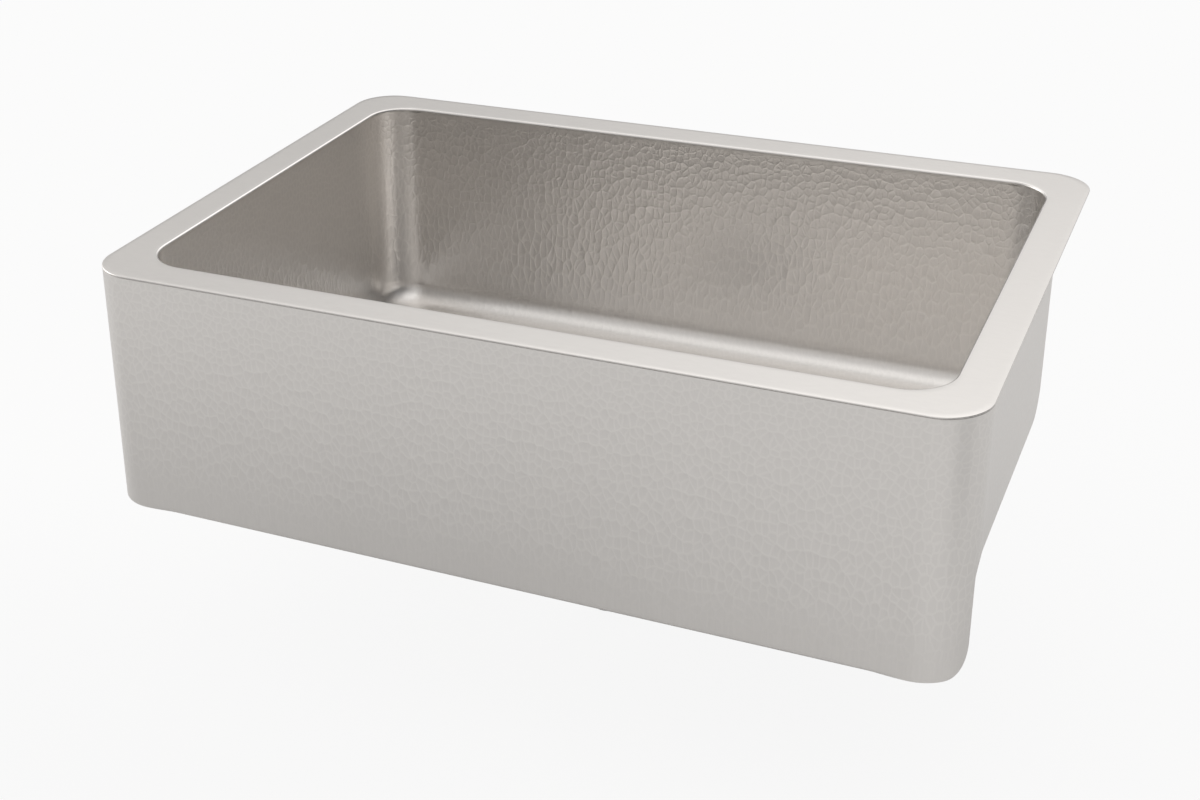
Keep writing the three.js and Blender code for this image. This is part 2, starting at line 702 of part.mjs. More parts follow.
function basketShell() {
  const t = BASKET_SHEET;
  const foot = zBasketFloor + BASKET_FILLET;
  const hole = POST_RADIUS + GUIDE_WALL;
  const bend = [BASKET_FOOT_RADIUS - BASKET_FILLET, foot];
  const outer = arcPoints(...bend, BASKET_FILLET, -90, 0, SHORT_ARC_STEPS);
  const inner = arcPoints(...bend, BASKET_FILLET - t, 0, -90, SHORT_ARC_STEPS);
  return turned([
    [hole, zBasketFloor],
    ...outer,
    [BASKET_TOP_RADIUS, zBasketRim - t],
    [BASKET_TOP_RADIUS + t, zBasketRim],
    [BASKET_RIM, zBasketRim],
    [BASKET_RIM, zBasketRim + t],
    [BASKET_TOP_RADIUS, zBasketRim + t],
    [BASKET_TOP_RADIUS - t, zBasketRim],
    ...inner,
    [hole, zBasketFloor + t],
  ], BASKET_STEPS);
}

function basketSlot(angle) {
  const half = SLOT_LENGTH / 2 - SLOT_WIDTH / 2;
  const shape = new THREE.Shape();
  shape.absarc(0, half, SLOT_WIDTH / 2, 0, Math.PI);
  shape.absarc(0, -half, SLOT_WIDTH / 2, Math.PI, 2 * Math.PI);
  const slot = new THREE.ExtrudeGeometry(shape, {
    depth: BASKET_RIM, bevelEnabled: false, curveSegments: TIP_ARC_STEPS,
  });
  slot.rotateX(Math.PI / 2);
  slot.rotateZ(angle);
  slot.translate(0, 0, (zBasketFloor + BASKET_FILLET + zBasketRim) / 2);
  return slot;
}

function basketHole(radius, angle) {
  const hole = new THREE.CylinderGeometry(FLOOR_HOLE_RADIUS, FLOOR_HOLE_RADIUS, 4 * BASKET_SHEET, HOLE_SIDES);
  hole.rotateX(Math.PI / 2);
  hole.translate(radius * Math.cos(angle), radius * Math.sin(angle), zBasketFloor);
  return hole;
}

function addBasket() {
  const rings = [[INNER_HOLES, INNER_HOLE_RING], [OUTER_HOLES, OUTER_HOLE_RING]];
  const cutters = [
    ...range(SLOT_COUNT).map((i) => basketSlot(2 * Math.PI * (i + 0.25) / SLOT_COUNT)),
    ...rings.flatMap(([count, radius]) => (
      range(count).map((i) => basketHole(radius, 2 * Math.PI * i / count))
    )),
  ];
  place('basket', cutAway(basketShell(), cutters), polished, drain);
  const bore = POST_RADIUS + SLIDE_CLEARANCE;
  const barrel = POST_RADIUS + GUIDE_WALL - SEAT_GAP;
  const shoulder = zBasketFloor + BASKET_SHEET + SEAT_GAP;
  place('post_guide', turned([
    [bore, zBasketFloor],
    [barrel, zBasketFloor],
    [barrel, shoulder],
    [GUIDE_RADIUS, shoulder],
    [GUIDE_RADIUS - GUIDE_TAPER, shoulder + GUIDE_HEIGHT],
    [bore, shoulder + GUIDE_HEIGHT],
  ], SMALL_STEPS), whiteBush, drain);
}

// ---------- stopper ----------

function addStopper() {
  const sealLow = zCupFloor + SEAT_GAP;
  const sealTop = sealLow + STOPPER_THICKNESS;
  const washerLow = sealTop + SEAT_GAP;
  const washerTop = washerLow + STOPPER_WASHER_THICKNESS;
  const hole = POST_RADIUS + SEAT_GAP;
  const knobLow = zBasketRim + KNOB_RISE;
  const collarLow = washerTop + SEAT_GAP;
  const collarTop = zBasketFloor - STOPPER_TRAVEL - SEAT_GAP;
  const nutTop = sealLow - SEAT_GAP;
  const postLow = nutTop - STOPPER_NUT_HEIGHT + POST_SHORT;
  const postTop = knobLow + POST_IN_KNOB;
  place('stopper_post', turned([
    [0, postLow],
    [POST_RADIUS, postLow],
    [POST_RADIUS, collarLow],
    [POST_RADIUS + POST_COLLAR, collarLow],
    [POST_RADIUS + POST_COLLAR, collarTop],
    [POST_RADIUS, collarTop],
    [POST_RADIUS, postTop],
    [0, postTop],
  ], SMALL_STEPS), polished, drain);
  const nut = new THREE.CylinderGeometry(STOPPER_NUT_RADIUS, STOPPER_NUT_RADIUS, STOPPER_NUT_HEIGHT, 6);
  nut.rotateX(Math.PI / 2);
  nut.translate(0, 0, nutTop - STOPPER_NUT_HEIGHT / 2);
  const tapping = new THREE.CylinderGeometry(hole, hole, 3 * STOPPER_NUT_HEIGHT, SMALL_STEPS);
  tapping.rotateX(Math.PI / 2);
  tapping.translate(0, 0, nutTop);
  place('stopper_nut', cutAway(nut, [tapping]), castMetal, drain);
  place('stopper_seal', turned([
    [hole, sealLow],
    [STOPPER_RADIUS - STOPPER_LIP, sealLow],
    [STOPPER_RADIUS, sealLow + STOPPER_LIP],
    [STOPPER_WASHER_RADIUS + STOPPER_SHOULDER, sealTop],
    [hole, sealTop],
  ]), sealRubber, drain);
  place('stopper_washer', turnedRing(hole, STOPPER_WASHER_RADIUS, washerLow, washerTop), polished, drain);
  const socket = postTop + SEAT_GAP;
  place('stopper_knob', turned([
    [0, socket],
    [hole, socket],
    [hole, knobLow],
    ...KNOB_PROFILE.map(([out, up]) => [KNOB_RADIUS * out, knobLow + KNOB_HEIGHT * up]),
    [0, knobLow + KNOB_HEIGHT],
  ], SMALL_STEPS), polished, drain);
}

// ---------- assembly ----------

place('bowl', bowl(), hammered);
place('rim_deck', rimDeck(), brushed);
place('apron', apron(), hammered);
[['apron_stay_left', -1], ['apron_stay_right', 1]].forEach(([name, side]) => {
  place(name, apronStay(), castMetal).position.x = side * STAY_SPACING / 2;
});
addPads();
addDrain();
addOutlet();
addBasket();
addStopper();

export default sink;
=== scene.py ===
"""A farmhouse apron front sink in hammered steel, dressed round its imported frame.

Metres, +Z up, the apron's face towards -Y. The origin is the middle of the back rim,
on the underside that rests on the cabinet.
"""

import math

import bmesh
import bpy
from mathutils import Matrix, Vector


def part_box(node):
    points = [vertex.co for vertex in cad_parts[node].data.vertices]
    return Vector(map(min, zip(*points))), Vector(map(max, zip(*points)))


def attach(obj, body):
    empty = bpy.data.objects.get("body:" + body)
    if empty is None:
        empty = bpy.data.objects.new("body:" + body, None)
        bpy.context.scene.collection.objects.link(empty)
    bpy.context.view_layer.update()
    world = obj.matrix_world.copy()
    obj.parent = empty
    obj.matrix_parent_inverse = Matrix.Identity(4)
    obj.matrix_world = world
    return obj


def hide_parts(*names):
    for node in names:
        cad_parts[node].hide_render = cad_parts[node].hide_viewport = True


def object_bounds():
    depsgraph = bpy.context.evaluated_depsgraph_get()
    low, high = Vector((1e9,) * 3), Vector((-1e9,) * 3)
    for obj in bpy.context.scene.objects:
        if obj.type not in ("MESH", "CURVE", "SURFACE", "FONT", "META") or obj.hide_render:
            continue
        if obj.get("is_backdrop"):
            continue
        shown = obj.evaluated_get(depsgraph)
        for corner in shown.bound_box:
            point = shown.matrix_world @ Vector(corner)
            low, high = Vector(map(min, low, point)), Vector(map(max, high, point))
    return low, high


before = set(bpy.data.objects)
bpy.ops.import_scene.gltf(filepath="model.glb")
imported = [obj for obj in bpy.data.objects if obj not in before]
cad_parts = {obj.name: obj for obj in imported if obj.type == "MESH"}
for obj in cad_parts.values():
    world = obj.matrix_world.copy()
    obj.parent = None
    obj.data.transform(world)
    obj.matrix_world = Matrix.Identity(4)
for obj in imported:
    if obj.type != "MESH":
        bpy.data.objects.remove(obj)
cad_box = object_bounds()

MM = 0.001

# ---------- sizes of the sink ----------

deck_low, deck_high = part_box("rim_deck")
apron_low, apron_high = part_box("apron")
bowl_low, bowl_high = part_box("bowl")
pipe_low, pipe_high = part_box("tailpiece")

SHEET = 1.5 * MM
HALF_WIDTH = deck_high.x
FRONT = deck_low.y
BACK = deck_high.y
RIM_TOP = deck_high.z
OPENING_X = bowl_high.x - SHEET
OPENING_FRONT = bowl_low.y + SHEET
OPENING_BACK = bowl_high.y - SHEET
DRAIN_Y = (OPENING_FRONT + OPENING_BACK) / 2
OUTER_CORNER = 40 * MM
INNER_CORNER = 39 * MM
RIM_EDGE = 0.7 * MM
LIP_ROLL = 2 * MM
LIP_DROP = 3.5 * MM
LIP_LAP = 0.075 * MM      # how far the lip reaches past the top of the bowl's wall
SEAT_GAP = 0.3 * MM       # between pieces that lie on each other

WALL_TOP = RIM_TOP - LIP_DROP
FLOOR_FOOT = RIM_TOP - 222 * MM
FLOOR_FALL = 3 * MM
FLOOR_FILLET = 25 * MM
RECESS_RADIUS = 58.5 * MM
RECESS_SLOPE = 3 * MM
RECESS_DEPTH = 3.5 * MM
HOLE_RADIUS = 44.5 * MM

APRON_HEIGHT = RIM_TOP - apron_low.z
RETURN_DEPTH = apron_high.y - apron_low.y
RETURN_HEIGHT = 127 * MM
RETURN_CORNER = 25.4 * MM
CHEEK_WRAP = 54 * MM
CHEEK_CORNER = 25.4 * MM
THROAT_FILLET = 19 * MM
HEM_BEND = 3 * MM
HEM_WIDTH = 14 * MM
HEM_RUNOUT = 34 * MM      # length over which the hem dies out at each corner

# ---------- hammer marks ----------

MARK_WIDTH = 6.3 * MM
MARK_SINK = 0.1 * MM      # as far as the mesh is hammered, and the bump adds the rest
MARK_WANDER = 3.2 * MM
MARK_SOFTNESS = 0.3
FOOT_PLAIN = 0.65         # how much the brush has smoothed the marks at the bowl's foot
APRON_MARKS = 1.05        # size of the apron's marks over that of the bowl's
APRON_BLOWS = 0.65        # and their depth
RETURNS_PLAIN = 0.4       # how much plainer its returns are
BOWL_STRETCH = 120 * MM   # depth at which the marks have become twice as tall as they are wide
APRON_STRETCH = 260 * MM
WELD_EDGE = 1 * MM
SMOOTH_EDGE = 5 * MM      # plain sheet beside the rim's weld
SEAM_PLAIN = 6 * MM       # beside the seam in the front wall
DRAIN_PLAIN = 12 * MM     # round the drain's recess
HEM_PLAIN = 4 * MM        # over the hem
MARK_SHAKE = 75.0         # scale of the noise that bends the net of marks
MARK_SCATTER = 0.9        # 0 is an even net
RIDGE_SHARE = 0.2         # of a mark's width, over which its ridge rises
HOLLOW_FULL = 2.2         # brings the hollow to about 1 at a mark's edge
PATCH_SCALE = 8.0         # scale of the harder and softer hammered patches
PATCH_RANGE = (0.75, 1.25)
FLOOR_BLEND = (FLOOR_FOOT + 5 * MM, FLOOR_FOOT + 17 * MM)
FOOT_BLEND = (FLOOR_FOOT + 15 * MM, FLOOR_FOOT + 60 * MM)

TURN_STEPS = 96           # round a turned piece
SHARP_ANGLE = math.radians(40)
EASED_ANGLE = math.radians(25)
BEVEL_ANGLE = math.radians(60)
CORNER_SHARE = 0.4        # of a profile's side, the most that a rounded corner takes


# ---------- node trees ----------


class Wire:
    """A node's output that can be written into sums, so that maths reads as an expression."""

    def __init__(self, bench, socket):
        self.bench = bench
        self.socket = socket

    def __add__(self, other):
        return self.bench.maths("ADD", self, other)

    def __radd__(self, other):
        return self.bench.maths("ADD", other, self)

    def __sub__(self, other):
        return self.bench.maths("SUBTRACT", self, other)

    def __rsub__(self, other):
        return self.bench.maths("SUBTRACT", other, self)

    def __mul__(self, other):
        return self.bench.maths("MULTIPLY", self, other)

    def __rmul__(self, other):
        return self.bench.maths("MULTIPLY", other, self)

    def __pow__(self, other):
        return self.bench.maths("POWER", self, other)


class Bench:
    """A node tree, with the one way in which its nodes are added."""

    def __init__(self, tree):
        self.tree = tree

    def node(self, kind, settings=None, out=0, sockets=None):
        """Adds a node. Its sockets are named, or numbered where a name stands for several."""
        node = self.tree.nodes.new(kind)
        for key, value in (settings or {}).items():
            setattr(node, key, value)
        for key, value in (sockets or {}).items():
            self.feed(node, key, value)
        return Wire(self, node.outputs[out])

    def feed(self, node, key, value):
        if isinstance(value, Wire):
            self.tree.links.new(value.socket, node.inputs[key])
        else:
            node.inputs[key].default_value = value

    def maths(self, operation, first, second):
        return self.node("ShaderNodeMath", {"operation": operation}, sockets={0: first, 1: second})

    def vector(self, operation, first, second):
        sockets = {0: first, 1: second}
        return self.node("ShaderNodeVectorMath", {"operation": operation}, sockets=sockets)

    def noise(self, place, scale, detail=2.0, out="Fac"):
        sockets = {"Vector": place, "Scale": scale, "Detail": detail}
        return self.node("ShaderNodeTexNoise", out=out, sockets=sockets)

    def stretched(self, place, scale):
        return self.node("ShaderNodeMapping", sockets={"Vector": place, "Scale": scale})

    def rise(self, value, low, high):
        """0 below low, 1 above high, and a smooth step between them."""
        sockets = {"Value": value, "From Min": low, "From Max": high}
        settings = {"interpolation_type": "SMOOTHSTEP"}
        return self.node("ShaderNodeMapRange", settings, sockets=sockets)

    def between(self, low, high, share):
        """A colour from low to high by share."""
        return self.node("ShaderNodeMix", {"data_type": "RGBA"}, 2, {0: share, 6: low, 7: high})

    def mixed(self, low, high, share):
        return low + (high - low) * share

    def bump(self, height):
        """A normal for a height in metres."""
        sockets = {"Height": height, "Strength": 1.0, "Distance": 1.0}
        return self.node("ShaderNodeBump", sockets=sockets)


def grey(value):
    return (value, value, value, 1.0)


def tint(colour, factor):
    return tuple(min(1.0, factor * c) for c in colour) + (1.0,)


def marks(bench, flat):
    """(hollow, ridge) of the hammer marks on a flat place in metres.

    hollow is 0 in the middle of a mark and about 1 at its edge, and ridge is 1 on the
    thin line where two marks meet.
    """
    flat = bench.vector("MULTIPLY", flat, (1.0, 1.0, 0.0))
    wander = bench.noise(flat, MARK_SHAKE, 3.0, "Color")
    shake = bench.vector("SUBTRACT", wander, (0.5, 0.5, 0.5))
    moved = bench.vector("ADD", flat, bench.vector("MULTIPLY", shake, (2 * MARK_WANDER,) * 3))
    sockets = {"Vector": moved, "Scale": 1 / MARK_WIDTH, "Randomness": MARK_SCATTER}
    settings = {"voronoi_dimensions": "2D", "feature": "DISTANCE_TO_EDGE"}
    edge = bench.node("ShaderNodeTexVoronoi", settings, "Distance", sockets)
    settings = {"voronoi_dimensions": "2D", "feature": "SMOOTH_F1"}
    sockets = {**sockets, "Smoothness": MARK_SOFTNESS}
    middle = bench.node("ShaderNodeTexVoronoi", settings, "Distance", sockets)
    return middle * middle * HOLLOW_FULL, 1.0 - bench.rise(edge, 0.0, RIDGE_SHARE)


def sink_marks(bench, sheet, place):
    """(hollow, ridge, strength): on a wall by its unrolled place, on the floor by x and y."""
    strength = bench.node("ShaderNodeSeparateXYZ", out=2, sockets={0: sheet})
    height = bench.node("ShaderNodeSeparateXYZ", out=2, sockets={0: place})
    floor = 1.0 - bench.rise(height, *FLOOR_BLEND)
    foot = 1.0 - bench.rise(height, *FOOT_BLEND)
    wall_hollow, wall_ridge = marks(bench, sheet)
    flat_hollow, flat_ridge = marks(bench, place)
    patches = bench.mixed(*PATCH_RANGE, bench.noise(place, PATCH_SCALE, 1.0))
    strength = strength * patches * (1.0 - foot * FOOT_PLAIN)
    hollow = bench.mixed(wall_hollow, flat_hollow, floor)
    ridge = bench.mixed(wall_ridge, flat_ridge, floor)
    return hollow, ridge, strength


# ---------- materials ----------

BRUSH_SCALE = 60.0
CLOUD_SCALE = 7.0
MOULDED_CLOUDS = 22.0
FINE_SHARE = 0.6          # of lines or specks in what varies, where clouds have the rest
GLOSS_RANGE = 0.1         # from the glossiest to the dullest spot
TINT_RANGE = (0.96, 1.045)
HOLLOW_BUMP = 0.08 * MM
RIDGE_HIGHLIGHT = 0.9         # painted highlight: how much the colour of the ridges between the marks is brightened


def new_material(name):
    material = bpy.data.materials.new(name)
    material.use_nodes = True
    shader = material.node_tree.nodes["Principled BSDF"]
    bench = Bench(material.node_tree)
    place = bench.node("ShaderNodeTexCoord", out="Object")
    return material, bench, shader, place


def metal(name, colour, roughness, brush, brush_height, ridge_height=None, ripple=None):
    """Steel with fine brushed lines along one way and clouded gloss.

    ridge_height is given where it is hammered, where it also sets a painted highlight on the
    ridges between the marks, and ripple, a stretch and a height, where it is a little wavy.
    """
    material, bench, shader, place = new_material(name)
    lines = bench.noise(bench.stretched(place, brush), BRUSH_SCALE, 3.0)
    clouds = bench.noise(place, CLOUD_SCALE)
    share = lines * FINE_SHARE + clouds * (1 - FINE_SHARE)
    bench.feed(shader, "Metallic", 1.0)
    bench.feed(shader, "Roughness", roughness - GLOSS_RANGE / 2 + share * GLOSS_RANGE)
    height = lines * brush_height
    if ridge_height:
        sheet = bench.node("ShaderNodeAttribute", {"attribute_name": "sheet"}, "Vector")
        hollow, ridge, strength = sink_marks(bench, sheet, place)
        height = height + (hollow * HOLLOW_BUMP + ridge * ridge_height) * strength
        # painted highlight: the ridges between the marks are lighter in colour
        share = share + ridge * strength * RIDGE_HIGHLIGHT
    low, high = (tint(colour, factor) for factor in TINT_RANGE)
    bench.feed(shader, "Base Color", bench.between(low, high, share))
    if ripple:
        stretch, ripple_height = ripple
        height = height + bench.noise(bench.stretched(place, stretch), 1.0, 1.0) * ripple_height
    bench.feed(shader, "Normal", bench.bump(height))
    return material


def moulded(name, low, high, roughness, grain, grain_height):
    """Rubber, fibre or plastic: a mottled colour with a fine grain."""
    material, bench, shader, place = new_material(name)
    speck = bench.noise(place, grain, 4.0)
    clouds = bench.noise(place, MOULDED_CLOUDS)
    share = speck * FINE_SHARE + clouds * (1 - FINE_SHARE)
    bench.feed(shader, "Base Color", bench.between(low, high, share))
    bench.feed(shader, "Roughness", roughness - GLOSS_RANGE / 2 + clouds * GLOSS_RANGE)
    bench.feed(shader, "Normal", bench.bump(speck * grain_height))
    return material


STEEL = (0.80, 0.780, 0.758)
STEEL_ROUGHNESS = 0.3
STEEL_LINES = 0.012 * MM
UPRIGHT = (14.0, 14.0, 0.5)
ALONG_X = (0.5, 14.0, 14.0)
RIM_STEEL = tuple(0.95 * c for c in STEEL)
RIM_BRUSH = (2.0, 6.0, 6.0)
RIM_WAVES = ((90.0, 200.0, 90.0), 0.05 * MM)

bowl_steel = metal("bowl_steel", STEEL, STEEL_ROUGHNESS, UPRIGHT, STEEL_LINES, 0.075 * MM)
apron_steel = metal("apron_steel", STEEL, STEEL_ROUGHNESS, UPRIGHT, STEEL_LINES, 0.05 * MM)
rim_steel = metal(
    "rim_steel", RIM_STEEL, STEEL_ROUGHNESS, RIM_BRUSH, STEEL_LINES, ripple=RIM_WAVES
)
# polished edge steel, whose brighter colour is a painted highlight
edge_highlight_steel = metal("edge_highlight_steel", (0.93, 0.91, 0.89), 0.22, ALONG_X, 0.003 * MM)
polished_steel = metal("polished_steel", (0.74, 0.73, 0.72), 0.2, (6.0, 6.0, 6.0), 0.003 * MM)
strip_steel = metal("strip_steel", (0.56, 0.56, 0.56), 0.42, ALONG_X, 0.02 * MM)
cast_metal = metal("cast_metal", (0.5, 0.505, 0.51), 0.5, (7.0, 7.0, 7.0), 0.05 * MM)
pad_rubber = moulded("pad_rubber", grey(0.035), grey(0.075), 0.85, 900.0, 0.12 * MM)
seal_rubber = moulded("seal_rubber", grey(0.018), grey(0.035), 0.6, 500.0, 0.03 * MM)
pressed_fibre = moulded(
    "pressed_fibre", (0.33, 0.21, 0.10, 1), (0.47, 0.31, 0.16, 1), 0.85, 700.0, 0.08 * MM
)
white_bush = moulded("white_bush", grey(0.66), grey(0.74), 0.45, 300.0, 0.01 * MM)


# ---------- putting pieces in the scene ----------


def add_piece(name, bm, material, body, slot, *nodes):
    mesh = bpy.data.meshes.new(name)
    bm.to_mesh(mesh)
    bm.free()
    mesh.shade_smooth()
    mesh.set_sharp_from_angle(angle=SHARP_ANGLE)
    mesh.materials.append(material)
    piece = bpy.data.objects.new(name, mesh)
    bpy.context.scene.collection.objects.link(piece)
    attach(piece, body)
    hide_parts(*nodes)
    return piece


def settle(piece):
    """Makes what the piece's modifiers do its own mesh."""
    depsgraph = bpy.context.evaluated_depsgraph_get()
    mesh = bpy.data.meshes.new_from_object(piece.evaluated_get(depsgraph))
    old = piece.data
    name = old.name
    piece.modifiers.clear()
    piece.data = mesh
    bpy.data.meshes.remove(old)
    mesh.name = name


def hammer_tree():
    """Geometry nodes that sink a sheet into its hammer marks."""
    tree = bpy.data.node_groups.new("hammer_marks", "GeometryNodeTree")
    tree.interface.new_socket("Geometry", in_out="INPUT", socket_type="NodeSocketGeometry")
    tree.interface.new_socket("Geometry", in_out="OUTPUT", socket_type="NodeSocketGeometry")
    bench = Bench(tree)
    start = bench.node("NodeGroupInput")
    place = bench.node("GeometryNodeInputPosition")
    normal = bench.node("GeometryNodeInputNormal")
    settings = {"data_type": "FLOAT_VECTOR"}
    sheet = bench.node("GeometryNodeInputNamedAttribute", settings, sockets={"Name": "sheet"})
    hollow, ridge, strength = sink_marks(bench, sheet, place)
    depth = (hollow - 1.0) * strength * MARK_SINK
    sockets = {0: normal, "Scale": depth}
    offset = bench.node("ShaderNodeVectorMath", {"operation": "SCALE"}, sockets=sockets)
    sockets = {"Geometry": start, "Offset": offset}
    moved = bench.node("GeometryNodeSetPosition", sockets=sockets)
    end = tree.nodes.new("NodeGroupOutput")
    tree.links.new(moved.socket, end.inputs[0])
    return tree


hammer_marks = hammer_tree()


def hammer(piece):
    modifier = piece.modifiers.new("hammer", "NODES")
    modifier.node_group = hammer_marks


def turned_towards(bm, spot, direction):
    """Turns all faces over if the one nearest to spot doesn't face along direction."""
    bmesh.ops.recalc_face_normals(bm, faces=bm.faces)
    nearest = min(bm.faces, key=lambda face: (face.calc_center_median() - Vector(spot)).length)
    if nearest.normal.dot(Vector(direction)) < 0:
        bmesh.ops.reverse_faces(bm, faces=bm.faces)


# ---------- grids laid along a form ----------


def laid_grid(bm, columns, rows, place, sheet=None):
    """A grid of columns by rows of points, each put where place(column, row) says.

    sheet(column, row) gives a point's unrolled place and how hard it was hammered.
    """
    layer = bm.verts.layers.float_vector.get("sheet") or bm.verts.layers.float_vector.new("sheet")
    before = len(bm.verts)
    bmesh.ops.create_grid(bm, x_segments=columns - 1, y_segments=rows - 1, size=1)
    bm.verts.ensure_lookup_table()
    for index in range(columns * rows):
        row, column = divmod(index, columns)
        vert = bm.verts[before + index]
        vert.co = place(column, row)
        if sheet:
            vert[layer] = sheet(column, row)


def spread(start, end, step):
    """Values from start towards end, end left out, no further than step apart."""
    count = max(1, math.ceil(abs(end - start) / step))
    return [start + (end - start) * i / count for i in range(count)]


def quarter(centre, reach, start, end, count):
    """Points along an arc from the start angle to the end angle, in degrees."""
    turns = [math.radians(start + (end - start) * i / count) for i in range(count + 1)]
    return [(centre[0] + reach * math.cos(t), centre[1] + reach * math.sin(t)) for t in turns]


def smooth(value, low, high):
    share = min(1.0, max(0.0, (value - low) / (high - low)))
    return share * share * (3 - 2 * share)


def stretched_down(down, run):
    """How far down the pattern of marks lies at a depth, where they grow taller with depth."""
    return -run * math.log(1 + down / run)


# ---------- apron ----------

WRAP_START = HALF_WIDTH - OUTER_CORNER
WRAP_LENGTH = OUTER_CORNER * math.pi / 2
HEM_START = APRON_HEIGHT - HEM_BEND
CHEEK_END = WRAP_START + CHEEK_WRAP
RETURN_END = WRAP_START + WRAP_LENGTH + RETURN_DEPTH - OUTER_CORNER
APRON_STEP = 2.5 * MM
APRON_START = SHEET + 0.05 * MM
APRON_EDGE = 0.35 * MM
HEM_ROWS = 10
HEM_CLOSING = 1.4         # power by which its rows close up where the hem turns in
HEM_SPLIT = 3 * MM        # where the hem has died out, its rows share this much of the edge
CORNER_COLUMNS = 16
THROAT_COLUMNS = 12


def hem_share(along):
    """1 along the front, dying out to 0 before the corners."""
    return smooth(WRAP_START - abs(along), 0, HEM_RUNOUT)


def apron_end(along):
    """How far down the sheet its edge lies, the hem's width with it."""
    turned_in = HEM_BEND * math.pi / 2 + HEM_WIDTH - HEM_BEND
    return HEM_START + HEM_BEND + (turned_in - HEM_BEND) * hem_share(along)


def bent(along, down):
    """Where a point of the apron's flat sheet lies once it is bent."""
    side = math.copysign(1, along)
    past = max(abs(along) - WRAP_START, 0)
    angle = min(past / OUTER_CORNER, math.pi / 2)
    straight = max(past - WRAP_LENGTH, 0)
    x = min(abs(along), WRAP_START) + OUTER_CORNER * math.sin(angle)
    y = FRONT + OUTER_CORNER * (1 - math.cos(angle)) + straight
    beyond = max(down - HEM_START, 0)
    share = hem_share(along)
    if beyond == 0 or share == 0:
        return Vector((side * x, y, RIM_TOP - down))
    bend = min(beyond / HEM_BEND, math.pi / 2)
    curled = HEM_BEND * (1 - math.cos(bend)) + beyond - HEM_BEND * bend
    drop = HEM_BEND * math.sin(bend)
    straight_drop = min(beyond, HEM_BEND)
    z = RIM_TOP - HEM_START - drop * share - straight_drop * (1 - share)
    return Vector((side * x, y + share * curled, z))


def apron_columns():
    """(along, end of the upper part, end of the lower or None) from the middle to the right."""
    middle = RETURN_HEIGHT + THROAT_FILLET
    columns = [(s, middle, apron_end(s)) for s in spread(0, WRAP_START, APRON_STEP)]
    cheek_start = CHEEK_END - CHEEK_CORNER
    columns += [(s, middle, APRON_HEIGHT) for s in spread(WRAP_START, cheek_start, APRON_STEP)]
    centre = (cheek_start, APRON_HEIGHT - CHEEK_CORNER)
    corner = quarter(centre, CHEEK_CORNER, 90, 0, CORNER_COLUMNS)
    columns += [(s, middle, down) for s, down in corner]
    centre = (CHEEK_END + THROAT_FILLET, middle)
    throat = quarter(centre, THROAT_FILLET, 180, 270, THROAT_COLUMNS)
    columns += [(s, down, None) for s, down in throat[1:]]
    rear = RETURN_END - RETURN_CORNER
    columns += [(s, RETURN_HEIGHT, None) for s in spread(throat[-1][0], rear, 3 * APRON_STEP)[1:]]
    centre = (rear, RETURN_HEIGHT - RETURN_CORNER)
    corner = quarter(centre, RETURN_CORNER, 90, 0, CORNER_COLUMNS)
    columns += [(s, down, None) for s, down in corner]
    return columns


def apron_strength(along, down):
    """The front and its corners are fully hammered, and the returns more lightly."""
    round_corner = (abs(along) - WRAP_START) / WRAP_LENGTH
    past_corner = smooth(round_corner, 0.5, 1.1)
    hem = smooth(down, HEM_START - HEM_PLAIN, HEM_START)
    blows = APRON_BLOWS * (1 - RETURNS_PLAIN * past_corner)
    return blows * smooth(down, SHEET, SMOOTH_EDGE) * (1 - hem)


def apron_sheet(along, down):
    pattern_down = stretched_down(down, APRON_STRETCH) / APRON_MARKS
    return along / APRON_MARKS, pattern_down, apron_strength(along, down)


def make_apron():
    half = apron_columns()
    columns = [(-s, a, b) for s, a, b in half[:0:-1]] + half
    lower = [c for c in columns if c[2] is not None]
    middle = RETURN_HEIGHT + THROAT_FILLET
    upper_rows = math.ceil((middle - APRON_START) / APRON_STEP)
    lower_rows = math.ceil((HEM_START - middle) / APRON_STEP)

    def upper_flat(column, row):
        along, end, _ = columns[column]
        return along, APRON_START + (end - APRON_START) * row / upper_rows

    def lower_flat(column, row):
        along, start, end = lower[column]
        split = min(HEM_START, end - HEM_SPLIT * (end - start) / APRON_HEIGHT)
        if row <= lower_rows:
            return along, start + (split - start) * row / lower_rows
        share = (row - lower_rows) / HEM_ROWS
        return along, split + (end - split) * share ** HEM_CLOSING

    bm = bmesh.new()
    for flat, count, rows in (
        (upper_flat, len(columns), upper_rows + 1),
        (lower_flat, len(lower), lower_rows + HEM_ROWS + 1),
    ):
        laid_grid(
            bm, count, rows,
            lambda c, r: bent(*flat(c, r)),
            lambda c, r: apron_sheet(*flat(c, r)),
        )
    bmesh.ops.remove_doubles(bm, verts=bm.verts, dist=0.02 * MM)
    turned_towards(bm, (0, FRONT, -0.1), (0, -1, 0))
    apron = add_piece("apron_sheet", bm, apron_steel, "sink", "hammered_steel", "apron")
    hammer(apron)
    thick = apron.modifiers.new("sheet", "SOLIDIFY")
    thick.thickness = SHEET
    thick.offset = -1
    edge = apron.modifiers.new("edge", "BEVEL")
    edge.width = APRON_EDGE
    edge.segments = 2
    edge.limit_method = "ANGLE"
    edge.angle_limit = BEVEL_ANGLE
    settle(apron)


# ---------- rings round the opening ----------


def between(start, end, share):
    return tuple(start[k] + (end[k] - start[k]) * share for k in (0, 1))


